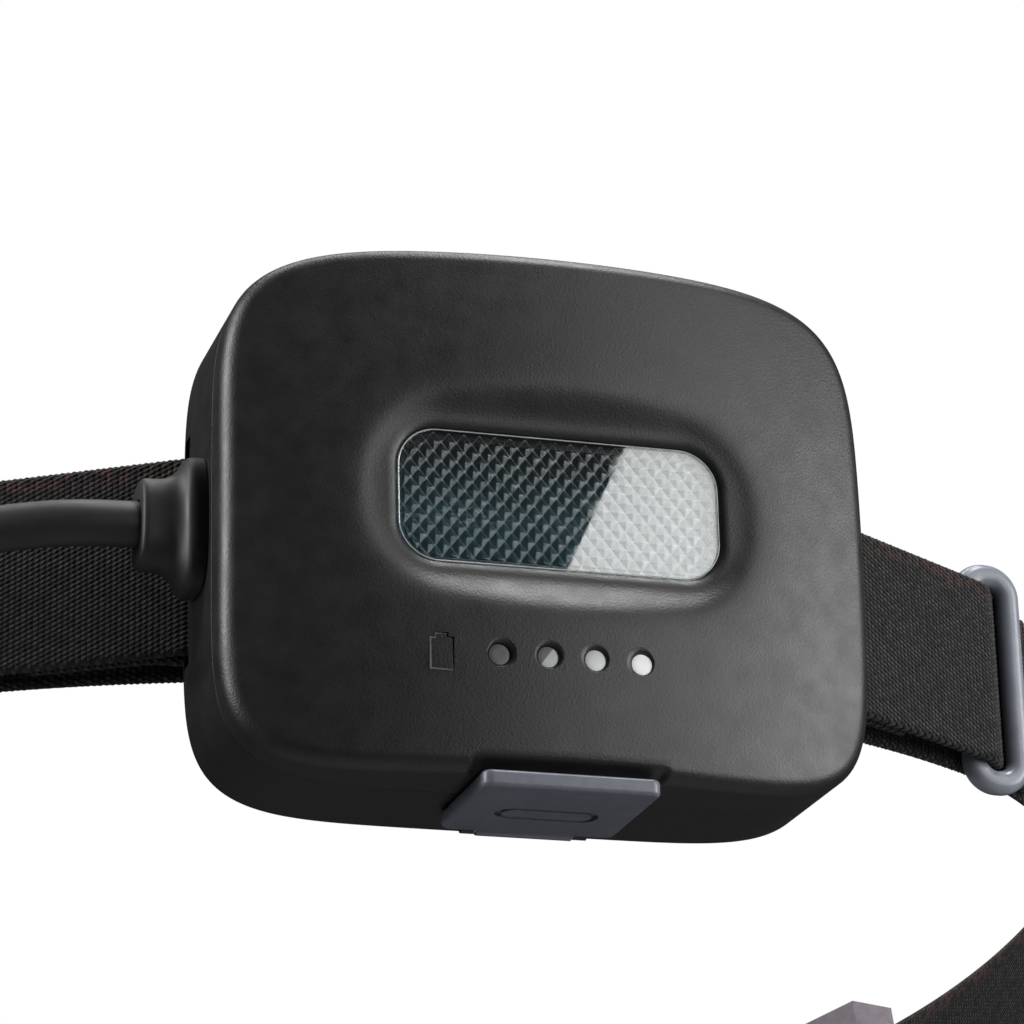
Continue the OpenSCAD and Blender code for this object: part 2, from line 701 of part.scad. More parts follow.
module cell_tabs() color([0.8, 0.8, 0.8]) at_pack() for (s = [-1, 1])
    translate([s * (cell_l / 2 + 0.15), cell_y, cell_z]) {
        translate([-0.15, -3, -3]) cube([0.3, 6, 15.5]);
    }

module cell_board() color([0.05, 0.3, 0.2]) at_pack() translate([0, cell_y, cell_z + 10.2])
    linear_extrude(1.2) rounded(50, 14, 1);

module pack_screws() color([0.6, 0.6, 0.62]) at_pack() screw_places(pack_screw_x, pack_screw_z) {
    rod_y(screw_r, pack_front_y + 8, pack_split_y + 8);
    rod_y(screw_head_r, pack_front_y + 5.6, pack_front_y + 7);
    rod_y(screw_r, pack_front_y + 6.9, pack_front_y + 8.1);
}

front_shell();
rear_shell();
shell_seal();
lens();
lens_gasket();
reflector();
led_board();
leds();
heat_spreader();
light_pipes();
control_board();
gauge_leds();
usb_port();
port_cover();
cover_pin();
power_button();
tact_switch();
switch_board();
shell_screws();
cable_gland();
lead();
lead_clips();
forehead_band();
strap_left();
strap_right();
ring_left();
ring_right();
side_band_left();
side_band_right();
adjuster();
pack_base();
pack_cover();
pack_seal();
pack_gland();
cell();
cell_tabs();
cell_board();
pack_screws();
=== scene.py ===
"""Headlamp: the looks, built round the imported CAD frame. Lengths in the tables below are millimetres."""
import math

import bmesh
import bpy
import numpy as np
from mathutils import Matrix, Vector


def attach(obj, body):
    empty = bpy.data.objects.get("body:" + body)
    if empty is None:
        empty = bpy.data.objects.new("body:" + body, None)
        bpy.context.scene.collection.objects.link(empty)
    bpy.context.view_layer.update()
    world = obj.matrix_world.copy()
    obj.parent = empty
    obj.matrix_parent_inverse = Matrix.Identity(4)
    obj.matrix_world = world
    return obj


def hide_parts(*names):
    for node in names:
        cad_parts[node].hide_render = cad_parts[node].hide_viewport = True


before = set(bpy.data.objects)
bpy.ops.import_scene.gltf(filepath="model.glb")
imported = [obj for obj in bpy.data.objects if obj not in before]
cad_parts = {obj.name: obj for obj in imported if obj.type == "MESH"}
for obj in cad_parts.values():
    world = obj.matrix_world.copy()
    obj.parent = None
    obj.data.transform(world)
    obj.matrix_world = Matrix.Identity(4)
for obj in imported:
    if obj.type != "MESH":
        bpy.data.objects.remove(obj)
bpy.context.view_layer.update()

MM = 0.001
ROOT = "headlamp"
LAMP = np.array([0.0, -25.4, 0.4])          # the lamp's own zero: middle of the face

# ---------------------------------------------------------------- camera

EYE = Vector((-0.10683, -0.35027, -0.12712))
LOOK = Vector((0.27863, 0.89513, 0.34802))
RIGHT = Vector((0.95708, -0.28891, -0.02315))
UP = Vector((-0.07982, -0.33953, 0.93720))

cam_data = bpy.data.cameras.new("camera")
cam_data.lens = 136.697
cam_data.sensor_width = 36
cam_data.clip_start = 0.01
cam = bpy.data.objects.new("camera", cam_data)
bpy.context.collection.objects.link(cam)
cam.matrix_world = Matrix([[RIGHT[i], UP[i], -LOOK[i], EYE[i]] for i in range(3)] + [[0, 0, 0, 1]])
bpy.context.scene.camera = cam


# ---------------------------------------------------------------- mesh helpers

def mesh_obj(name, verts, faces, body=ROOT, replaces=(), mats=(), uv=None, smooth=True, at=None):
    """Makes a piece from vertices in millimetres; at moves them, such as by LAMP."""
    v = np.asarray(verts, float)
    if at is not None:
        v = v + at
    me = bpy.data.meshes.new(name)
    me.from_pydata((v * MM).tolist(), [], faces)
    me.validate()
    if uv is not None:
        layer = me.uv_layers.new(name="UVMap")
        idx = np.zeros(len(me.loops), int)
        me.loops.foreach_get("vertex_index", idx)
        layer.data.foreach_set("uv", np.asarray(uv, float)[idx].ravel())
    me.polygons.foreach_set("use_smooth", [smooth] * len(me.polygons))
    for m in mats:
        me.materials.append(m)
    ob = bpy.data.objects.new(name, me)
    bpy.context.collection.objects.link(ob)
    if body:
        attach(ob, body)
    if replaces:
        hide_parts(*replaces)
    return ob


def tube_faces(n_rings, n, closed_path=False):
    """Faces of a tube with n vertices in each ring, capped at both ends unless its path is closed."""
    faces = []
    last = n_rings if closed_path else n_rings - 1
    for i in range(last):
        a, b = i * n, ((i + 1) % n_rings) * n
        for k in range(n):
            k2 = (k + 1) % n
            faces.append([a + k, a + k2, b + k2, b + k])
    if not closed_path:
        faces += [list(range(n))[::-1], [(n_rings - 1) * n + k for k in range(n)]]
    return faces


def fix_normals(ob):
    bm = bmesh.new()
    bm.from_mesh(ob.data)
    bmesh.ops.recalc_face_normals(bm, faces=bm.faces)
    bm.to_mesh(ob.data)
    bm.free()


def boolean(ob, cutter, operation="DIFFERENCE"):
    """Applies a boolean and removes the cutter."""
    mod = ob.modifiers.new("cut", "BOOLEAN")
    mod.operation = operation
    mod.solver = "EXACT"
    mod.object = cutter
    apply_modifiers(ob)
    bpy.data.objects.remove(cutter)


def apply_modifiers(ob):
    dg = bpy.context.evaluated_depsgraph_get()
    me = bpy.data.meshes.new_from_object(ob.evaluated_get(dg), depsgraph=dg)
    old = ob.data
    ob.modifiers.clear()
    ob.data = me
    bpy.data.meshes.remove(old)


def sharp_by_angle(ob, degrees):
    """Shades smooth, apart from edges that turn by more than this."""
    me = ob.data
    bm = bmesh.new()
    bm.from_mesh(me)
    limit = math.radians(degrees)
    for e in bm.edges:
        e.smooth = len(e.link_faces) == 2 and e.calc_face_angle(0.0) < limit
    for f in bm.faces:
        f.smooth = True
    bm.to_mesh(me)
    bm.free()


def join_meshes(obs):
    """Joins plain mesh objects into the first."""
    first = obs[0]
    bm = bmesh.new()
    for o in obs:
        tmp = o.data.copy()
        if o is not first:
            for m in o.data.materials:
                if m.name not in [x.name for x in first.data.materials]:
                    first.data.materials.append(m)
            order = [[x.name for x in first.data.materials].index(m.name) for m in o.data.materials]
            for p in tmp.polygons:
                p.material_index = order[p.material_index] if order else 0
        bm.from_mesh(tmp)
        bpy.data.meshes.remove(tmp)
    bm.to_mesh(first.data)
    bm.free()
    for o in obs[1:]:
        bpy.data.objects.remove(o)
    return first


# ---------------------------------------------------------------- shapes in the plane

def sd_round(x, z, hw, hh, r):
    """Signed distance to a rounded rectangle, positive outside."""
    qx, qz = np.abs(x) - (hw - r), np.abs(z) - (hh - r)
    return np.hypot(np.maximum(qx, 0), np.maximum(qz, 0)) + np.minimum(np.maximum(qx, qz), 0) - r


def round_rect(hw, hh, r, n_corner=10):
    """Points of a rounded rectangle, anticlockwise."""
    pts = []
    for sx, sz, a0 in ((1, 1, 0), (-1, 1, 90), (-1, -1, 180), (1, -1, 270)):
        for k in range(n_corner + 1):
            a = math.radians(a0 + 90 * k / n_corner)
            pts.append((sx * (hw - r) + r * math.cos(a), sz * (hh - r) + r * math.sin(a)))
    return np.array(pts)


def resample(p, n):
    """Equally spaced points on a closed line."""
    q = np.vstack([p, p[:1]])
    s = np.concatenate([[0], np.cumsum(np.hypot(*np.diff(q, axis=0).T))])
    t = np.linspace(0, s[-1], n, endpoint=False)
    return np.stack([np.interp(t, s, q[:, 0]), np.interp(t, s, q[:, 1])], 1)


def normals_of(p):
    d = np.roll(p, -1, 0) - np.roll(p, 1, 0)
    n = np.stack([d[:, 1], -d[:, 0]], 1)
    return n / np.linalg.norm(n, axis=1)[:, None]


def circle(r, n):
    a = np.linspace(0, 2 * math.pi, n, endpoint=False)
    return np.stack([r * np.cos(a), r * np.sin(a)], 1)


def superoval(hw, hh, power, n):
    t = np.linspace(0, 2 * math.pi, n, endpoint=False)
    c, s = np.cos(t), np.sin(t)
    return np.stack([hw * np.sign(c) * np.abs(c) ** (2 / power), hh * np.sign(s) * np.abs(s) ** (2 / power)], 1)


def smooth_step(x):
    x = np.clip(x, 0, 1)
    return x * x * (3 - 2 * x)


def catmull(points, step):
    """A smooth line through points, with a point about every step."""
    p = np.array(points, float)
    p = np.vstack([2 * p[0] - p[1], p, 2 * p[-1] - p[-2]])
    out = []
    for i in range(1, len(p) - 2):
        n = max(1, int(round(np.linalg.norm(p[i + 1] - p[i]) / step)))
        for k in range(n):
            t = k / n
            out.append(0.5 * (2 * p[i] + (p[i + 1] - p[i - 1]) * t
                              + (2 * p[i - 1] - 5 * p[i] + 4 * p[i + 1] - p[i + 2]) * t ** 2
                              + (3 * p[i] - p[i - 1] - 3 * p[i + 1] + p[i + 2]) * t ** 3))
    out.append(p[-2])
    return np.array(out)


# ---------------------------------------------------------------- material helpers

def srgb(*c):
    return tuple((v / 255 / 12.92) if v / 255 <= 0.04045 else ((v / 255 + 0.055) / 1.055) ** 2.4 for v in c) + (1,)


class Mat:
    """A node material, built step by step."""

    def __init__(self, name, **inputs):
        self.m = bpy.data.materials.new(name)
        self.m.use_nodes = True
        self.t = self.m.node_tree
        self.b = next(n for n in self.t.nodes if n.type == "BSDF_PRINCIPLED")
        for k, v in inputs.items():
            self.b.inputs[k.replace("_", " ")].default_value = v

    def node(self, kind, **props):
        n = self.t.nodes.new("ShaderNode" + kind)
        for k, v in props.items():
            setattr(n, k, v)
        return n

    def link(self, a, b):
        self.t.links.new(a, b)

    def math(self, op, a, b=None, clamp=False):
        n = self.node("Math", operation=op, use_clamp=clamp)
        for i, v in enumerate((a, b)):
            if v is None:
                continue
            if isinstance(v, bpy.types.NodeSocket):
                self.link(v, n.inputs[i])
            else:
                n.inputs[i].default_value = v
        return n.outputs[0]

    def coords(self, scale=(1, 1, 1)):
        tc = self.node("TexCoord")
        mp = self.node("Mapping")
        mp.inputs["Scale"].default_value = scale
        self.link(tc.outputs["Object"], mp.inputs["Vector"])
        return mp.outputs["Vector"]

    def noise(self, vec, scale, detail=2.0, rough=0.5):
        n = self.node("TexNoise")
        self.link(vec, n.inputs["Vector"])
        n.inputs["Scale"].default_value = scale
        n.inputs["Detail"].default_value = detail
        n.inputs["Roughness"].default_value = rough
        return n.outputs["Fac"]

    def voronoi(self, vec, scale, feature):
        n = self.node("TexVoronoi", feature=feature)
        self.link(vec, n.inputs["Vector"])
        n.inputs["Scale"].default_value = scale
        return n.outputs["Distance"]

    def ramp(self, fac, stops):
        n = self.node("ValToRGB")
        els = n.color_ramp.elements
        while len(els) < len(stops):
            els.new(0.5)
        for e, (p, c) in zip(els, stops):
            e.position = p
            e.color = c if len(c) == 4 else (*c, 1)
        self.link(fac, n.inputs["Fac"])
        return n.outputs["Color"]

    def map(self, fac, lo, hi, a=0.0, b=1.0):
        n = self.node("MapRange")
        self.link(fac, n.inputs["Value"])
        for k, v in (("From Min", lo), ("From Max", hi), ("To Min", a), ("To Max", b)):
            n.inputs[k].default_value = v
        return n.outputs["Result"]

    def bump(self, height, distance, strength):
        n = self.node("Bump")
        n.inputs["Strength"].default_value = strength
        n.inputs["Distance"].default_value = distance
        self.link(height, n.inputs["Height"])
        return n.outputs["Normal"]

    def color(self, socket):
        self.link(socket, self.b.inputs["Base Color"])

    def rough(self, socket):
        self.link(socket, self.b.inputs["Roughness"])

    def normal(self, socket):
        self.link(socket, self.b.inputs["Normal"])


def grained_plastic(name, dark, light, roughness, grain, scale=2600, spec=0.5):
    """Moulded plastic with a fine leather grain and a little change of tone."""
    m = Mat(name, Specular_IOR_Level=spec)
    v = m.coords()
    cells = m.voronoi(v, scale, "SMOOTH_F1")
    fine = m.noise(v, scale * 2.2, 3, 0.6)
    height = m.math("ADD", m.math("MULTIPLY", cells, 0.7), m.math("MULTIPLY", fine, 0.5))
    m.normal(m.bump(height, grain, 0.6))
    tone = m.noise(v, 90, 3, 0.55)
    mix = m.math("ADD", m.math("MULTIPLY", tone, 0.7), m.math("MULTIPLY", m.noise(v, 1400, 2), 0.3))
    m.color(m.ramp(mix, [(0.35, dark), (0.65, light)]))
    m.rough(m.map(m.noise(v, 400, 3), 0.3, 0.7, roughness - 0.04, roughness + 0.05))
    return m.m


def plain_plastic(name, dark, light, roughness, scale=900):
    """Moulded plastic or rubber that is nearly smooth."""
    m = Mat(name, Specular_IOR_Level=0.5)
    v = m.coords()
    n = m.noise(v, scale, 4, 0.6)
    m.color(m.ramp(n, [(0.35, dark), (0.65, light)]))
    m.rough(m.map(m.noise(v, scale * 0.4, 3), 0.3, 0.7, roughness - 0.05, roughness + 0.05))
    m.normal(m.bump(m.noise(v, scale * 3, 2), 0.00001, 0.4))
    return m.m


def metal(name, color, roughness, stretch=(1, 1, 30), scale=500):
    """Metal whose fine streaks run across the stretched axis."""
    m = Mat(name, Metallic=1.0)
    v = m.coords(stretch)
    n = m.noise(v, scale, 3, 0.6)
    dark = tuple(c * 0.82 for c in color[:3])
    m.color(m.ramp(n, [(0.3, dark), (0.7, color[:3])]))
    m.rough(m.map(n, 0.3, 0.7, roughness, roughness + 0.12))
    m.normal(m.bump(n, 0.000008, 0.5))
    return m.m


# size of a stitch of the webbing, along the band and across it
STITCH_L, STITCH_W = 0.62, 0.5


def webbing_material(name, dark, light, thread, relief):
    """Knitted elastic. UV is in millimetres: u along the band, v across it from the lower edge."""
    m = Mat(name, Roughness=0.85, Specular_IOR_Level=0.25, Sheen_Weight=0.08, Sheen_Roughness=0.5)
    tc = m.node("TexCoord")
    sep = m.node("SeparateXYZ")
    m.link(tc.outputs["UV"], sep.inputs[0])
    u, v = sep.outputs[0], sep.outputs[1]
    wobble = m.noise(m.coords(), 700, 2)
    u = m.math("ADD", u, m.math("MULTIPLY", wobble, 0.18))
    col = m.math("DIVIDE", u, STITCH_L)
    column = m.math("FLOOR", col)
    shift = m.math("MULTIPLY", m.math("MODULO", m.math("ABSOLUTE", column), 2.0), 0.5)
    row = m.math("ADD", m.math("DIVIDE", v, STITCH_W), shift)
    fu = m.math("SUBTRACT", m.math("FRACT", col), 0.5)
    fv = m.math("SUBTRACT", m.math("FRACT", row), 0.5)
    slant = m.math("ADD", fv, m.math("MULTIPLY", fu, 0.5))
    r2 = m.math("ADD", m.math("MULTIPLY", m.math("MULTIPLY", fu, fu), 3.2),
                m.math("MULTIPLY", m.math("MULTIPLY", slant, slant), 4.2))
    dome = m.math("SUBTRACT", 1.0, r2, clamp=True)
    cell = m.node("CombineXYZ")
    m.link(column, cell.inputs[0])
    m.link(m.math("FLOOR", row), cell.inputs[1])
    rnd = m.node("TexWhiteNoise", noise_dimensions="3D")
    m.link(cell.outputs[0], rnd.inputs["Vector"])
    random = rnd.outputs["Value"]
    fibre = m.noise(m.coords((1, 1, 1)), 5200, 2, 0.6)
    height = m.math("ADD", m.math("MULTIPLY", dome, m.math("ADD", m.math("MULTIPLY", random, 0.5), 0.7)),
                    m.math("MULTIPLY", fibre, 0.35))
    m.normal(m.bump(height, relief, 0.9))
    # painted light and shade on the knit: each stitch's top is painted lighter and the gaps between stitches darker,
    # with a random tone for each stitch and the fibre noise
    lit = m.math("MULTIPLY", m.math("POWER", dome, 2.2), m.math("ADD", m.math("MULTIPLY", random, 1.0), 0.2))
    base = m.ramp(m.math("MULTIPLY", lit, m.math("ADD", fibre, 0.5)), [(0.05, dark), (0.9, light)])
    # coloured threads close to the upper edge
    band = m.math("MULTIPLY", m.map(v, 17.4, 18.6), m.map(v, 20.0, 19.3))
    some = m.map(m.math("ADD", m.math("MULTIPLY", random, 0.6), m.math("MULTIPLY", m.noise(m.coords(), 260, 2), 0.6)),
                 0.52, 0.72)
    mix = m.node("Mix", data_type="RGBA")
    m.link(m.math("MULTIPLY", band, some), mix.inputs[0])
    m.link(base, mix.inputs[6])
    mix.inputs[7].default_value = (*thread[:3], 1)
    m.color(mix.outputs[2])
    return m.m


HOUSING = grained_plastic("housing_front", (0.0075, 0.0075, 0.008), (0.0095, 0.0095, 0.01), 0.42, 0.00004, 4600)
HOUSING_REAR = grained_plastic("housing_rear", (0.006, 0.006, 0.0065), (0.008, 0.008, 0.0085), 0.42, 0.00002, 4600,
                               0.45)
GREY = plain_plastic("grey_trim", srgb(94, 97, 108)[:3], srgb(102, 105, 116)[:3], 0.4)
RUBBER = plain_plastic("cable_rubber", (0.008, 0.008, 0.0085), (0.012, 0.012, 0.0125), 0.55, 700)
CLIP = plain_plastic("clip_plastic", (0.012, 0.012, 0.013), (0.02, 0.02, 0.021), 0.45)
RING = plain_plastic("ring_gloss", srgb(118, 122, 132)[:3], srgb(128, 132, 142)[:3], 0.3, 500)
ADJUSTER = plain_plastic("adjuster_grey", srgb(100, 94, 100)[:3], srgb(112, 105, 112)[:3], 0.5)
PACK = grained_plastic("pack_grey", (0.016, 0.0155, 0.0175), (0.023, 0.022, 0.025), 0.5, 0.00003, 2400)
SEAL = plain_plastic("seal", (0.006, 0.006, 0.006), (0.01, 0.01, 0.01), 0.7)
STEEL = metal("steel", (0.55, 0.55, 0.57), 0.3)
CHROME = metal("reflector_bright", (0.42, 0.6, 0.64), 0.08, (1, 1, 1), 300)
BOARD = plain_plastic("circuit_board", (0.006, 0.05, 0.03), (0.01, 0.075, 0.045), 0.35, 1600)
WHITE_BOARD = plain_plastic("led_board", (0.7, 0.72, 0.72), (0.8, 0.82, 0.82), 0.3, 1600)
# the webbing's dark and light colours are the painted shade between the stitches and the painted light on their tops
WEB = webbing_material("webbing", (0.0015, 0.0015, 0.0017), (0.05, 0.049, 0.05), (0.05, 0.022, 0.02), 0.0002)


# ---------------------------------------------------------------- lamp housing

HALF_H = 25.85
HALF_W, Z_TOP, Z_LOW, SIDE_SHIFT = 32.26, 26.28, 25.87, 0.13
POWER_TOP, POWER_LOW = 5.54, 6.17
CROWN_R, CROWN_SIDE_R = 87.0, 222.0
LENS_Z, LENS_HW, LENS_HH, LENS_R = 1.1, 16.0, 6.7, 4.0
LENS_Y = 2.95
CELL_W, CELL_H = 1.51, 1.9
N_ROUND = 760        # points round the housing
EDGE_R = 1.5                                # rounding of the housing's edges
WALL = 1.8
SEAM_Y = 9.95                               # where the front shell ends
SHELL_BACK_Y = 23.6
SCREW_X, SCREW_Z = 27, 19.5
SLOT_IN, BAR_IN, SLOT_HALF_H, SLOT_Y0, SLOT_Y1 = 26.2, 28.8, 11.7, 19.9, 21.8
PORT_Y, HINGE_Y, HINGE_Z = 9.95, 17.3, -26.9
BUTTON_Y = 15.2
GLAND_X, GLAND_Y, GLAND_Z = -32, 15.6, 0.4
GAUGE_X = [-6.945, -2.315, 2.315, 6.945]
GAUGE_Z = -14.95


def outline():
    t = np.linspace(0, 2 * math.pi, 6000, endpoint=False)
    c, s = np.cos(t), np.sin(t)
    power = np.where(s >= 0, POWER_TOP, POWER_LOW)
    half = np.where(s >= 0, Z_TOP, Z_LOW)
    x, z = np.sign(c) * np.abs(c) ** (2 / power), np.sign(s) * np.abs(s) ** (2 / power)
    return resample(np.stack([HALF_W * x + SIDE_SHIFT, half * z], 1), N_ROUND)


EDGE = outline()
EDGE_N = normals_of(EDGE)


def inset(s):
    """The housing's outline, set in by s."""
    return EDGE - EDGE_N * s


def crown(x, z):
    """Depth of the plain crowned face."""
    rho = CROWN_R - CROWN_SIDE_R + np.sqrt(CROWN_SIDE_R ** 2 - z ** 2)
    return CROWN_R - np.sqrt(rho ** 2 - x ** 2)


def face_y(x, z):
    """Depth of the face: crown, the trough round the lens, the lip of the lens, and the dish over the flap."""
    c = crown(x, z)
    d = sd_round(x, z - LENS_Z, 17.6, 6.9, 6.2) - 1.1
    floor = 2.62 - 0.37 * (d + np.sqrt(d * d + 1.3))
    k = 1.15
    y = (c + floor + np.sqrt((c - floor) ** 2 + k * k)) / 2 - k * 0.06
    lens = sd_round(x, z - LENS_Z, LENS_HW, LENS_HH, LENS_R)
    lip = np.clip(lens / 0.95, 0, 1)
    y = np.maximum(y, 2.35 * np.clip(1 - lens / 0.6, 0, 1)) + 0.5 * (1 - np.sqrt(1 - (1 - lip) ** 2))
    dish = smooth_step((9.7 - np.abs(x)) / 0.8) * smooth_step((-24.35 - z) / 1.0)
    return y + 1.0 * dish


def ring3(p, y):
    """Flat points in X and Z, put at a depth."""
    return np.stack([p[:, 0], np.broadcast_to(y, len(p)), p[:, 1]], 1)


def front_shell():
    side_y = 9.85                            # where the small chamfer at the seam meets the side
    rings = [ring3(inset(WALL), SEAM_Y), ring3(inset(0.12), SEAM_Y), ring3(inset(0.0), side_y)]
    p = inset(0.0)
    start = crown(p[:, 0], p[:, 1]) + EDGE_R
    for k in (0.35, 0.7, 0.9):
        rings.append(ring3(p, side_y + (start - side_y) * k))
    for k in range(0, 13):
        a = math.radians(90 * k / 12)
        s = EDGE_R * (1 - math.cos(a))
        p = inset(s)
        rings.append(ring3(p, face_y(p[:, 0], p[:, 1]) + EDGE_R * (1 - math.sin(a))))
    for s in (2.2, 2.6, 3.0):
        p = inset(s)
        rings.append(ring3(p, face_y(p[:, 0], p[:, 1])))
    outer = inset(3.0)
    # where each point of the outline meets the lip of the lens
    q = (outer - np.array([SIDE_SHIFT, 0])) * np.array([LENS_HW / HALF_W, LENS_HH / HALF_H])
    for _ in range(4):
        e = 1e-3
        d = sd_round(q[:, 0], q[:, 1], LENS_HW, LENS_HH, LENS_R)
        gx = (sd_round(q[:, 0] + e, q[:, 1], LENS_HW, LENS_HH, LENS_R) - d) / e
        gz = (sd_round(q[:, 0], q[:, 1] + e, LENS_HW, LENS_HH, LENS_R) - d) / e
        g = np.stack([gx, gz], 1)
        g /= np.maximum(np.linalg.norm(g, axis=1), 1e-6)[:, None]
        q = q - g * d[:, None]
    q = resample_like(q)
    qn = normals_of(q)
    shift = np.array([0, LENS_Z])
    lip_out = q + qn * 1.3 + shift
    n = 110
    for k in range(1, n + 1):
        t = k / n
        p = outer * (1 - t) + lip_out * t
        rings.append(ring3(p, face_y(p[:, 0], p[:, 1])))
    for d in (1.1, 0.95, 0.8, 0.65, 0.5, 0.36, 0.24, 0.14, 0.06, 0.0):
        p = q + qn * d + shift
        rings.append(ring3(p, face_y(p[:, 0], p[:, 1])))
    p = q + shift
    rings += [ring3(p, 3.9), ring3(p, 5.2), ring3(q + qn * 1.2 + shift, 5.2), ring3(q + qn * 1.2 + shift, 6.4)]
    # inside of the shell, back to the seam
    p = inset(8.0)
    rings.append(ring3(p, np.maximum(face_y(p[:, 0], p[:, 1]) + WALL, 6.4)))
    p = inset(3.0)
    rings.append(ring3(p, crown(p[:, 0], p[:, 1]) + 2.2))
    verts = np.vstack(rings)
    ob = mesh_obj("front_shell_skin", verts, tube_faces(len(rings), N_ROUND, closed_path=True), at=LAMP,
                  replaces=["front_shell"], mats=[HOUSING])
    fix_normals(ob)
    return ob


def resample_like(q):
    """Evens out points on the lip so that none coincide, keeping their order."""
    s = np.concatenate([[0], np.cumsum(np.hypot(*np.diff(np.vstack([q, q[:1]]), axis=0).T))])
    even = np.linspace(0, s[-1], len(q) + 1)
    mixed = 0.35 * s + 0.65 * even
    dense = np.vstack([q, q[:1]])
    return np.stack([np.interp(mixed[:-1], s, dense[:, 0]), np.interp(mixed[:-1], s, dense[:, 1])], 1)


def lathe_y(cx, cz, profile, n=48):
    """Closed cutter turned about a line along Y: profile is (radius, y)."""
    rings = []
    a = np.linspace(0, 2 * math.pi, n, endpoint=False)
    for r, y in profile:
        rings.append(np.stack([cx + r * np.cos(a), np.full(n, y), cz + r * np.sin(a)], 1))
    ob = mesh_obj("cutter", np.vstack(rings), tube_faces(len(rings), n), body=None, at=LAMP)
    fix_normals(ob)
    return ob


def prism(ends):
    """Closed straight piece between two outlines with as many points each."""
    ob = mesh_obj("cutter", np.vstack(ends), tube_faces(2, len(ends[0])), body=None, at=LAMP, smooth=False)
    fix_normals(ob)
    return ob


def prism_y(points, y0, y1):
    p = np.asarray(points)
    return prism([ring3(p, y) for y in (y0, y1)])


def prism_z(points, z0, z1):
    p = np.asarray(points)
    return prism([np.stack([p[:, 0], p[:, 1], np.full(len(p), z)], 1) for z in (z0, z1)])


def prism_x(points, x0, x1):
    p = np.asarray(points)
    return prism([np.stack([np.full(len(p), x), p[:, 0], p[:, 1]], 1) for x in (x0, x1)])


def frame_y(outer, inner, y0, y1):
    """Closed cutter: the strip between two outlines with as many points each."""
    rings = [ring3(outer, y0), ring3(outer, y1), ring3(inner, y1), ring3(inner, y0)]
    n = len(outer)
    ob = mesh_obj("cutter", np.vstack(rings), tube_faces(4, n, closed_path=True), body=None, at=LAMP, smooth=False)
    fix_normals(ob)
    return ob


def icon_outlines(depth_in=0.0):
    """Outer and inner edge of the battery sign's line, and the depth of the face there."""
    cx, cz, w, h, line, neck, knob = -12.35, GAUGE_Z - 0.15, 1.15, 1.6, 0.19, 0.62, 0.42
    w, h, line, neck = w - depth_in, h - depth_in, line - 2 * depth_in, neck - depth_in
    outer = [(-w, -h), (w, -h), (w, h), (neck, h), (neck, h + knob), (-neck, h + knob), (-neck, h), (-w, h)]
    a, b = w - line, neck - line
    inner = [(-a, -h + line), (a, -h + line), (a, h - line), (b, h - line), (b, h + knob - line),
             (-b, h + knob - line), (-b, h - line), (-a, h - line)]
    y0 = float(crown(np.array(cx), np.array(cz)))
    return np.array(outer) + [cx, cz], np.array(inner) + [cx, cz], y0


def cut_front(ob):
    """The holes of the gauge, with soft edges, and the groove of the battery sign."""
    for x in GAUGE_X:
        y0 = float(crown(np.array(x), np.array(GAUGE_Z)))
        boolean(ob, lathe_y(x, GAUGE_Z, [(1.75, y0 - 0.6), (1.6, y0 - 0.05), (1.36, y0 + 0.02), (1.2, y0 + 0.1),
                                         (1.1, y0 + 0.22), (1.06, y0 + 0.4), (1.05, y0 + 0.75), (1.05, y0 + 3.2)]))
    outer, inner, y0 = icon_outlines()
    boolean(ob, frame_y(outer, inner, y0 - 1, y0 + 0.2))


# painted highlight: a light grey strip laid into the groove of the battery sign stands in for the light its edges
# catch
def icon_fill():
    outer, inner, y0 = icon_outlines(0.015)
    ob = frame_y(outer, inner, y0 + 0.07, y0 + 0.4)
    ob.name = "gauge_icon_line_painted_highlight"
    ob.data.materials.append(plain_plastic("icon_line_painted_highlight", (0.05, 0.05, 0.052), (0.07, 0.07, 0.072), 0.4))
    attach(ob, ROOT)


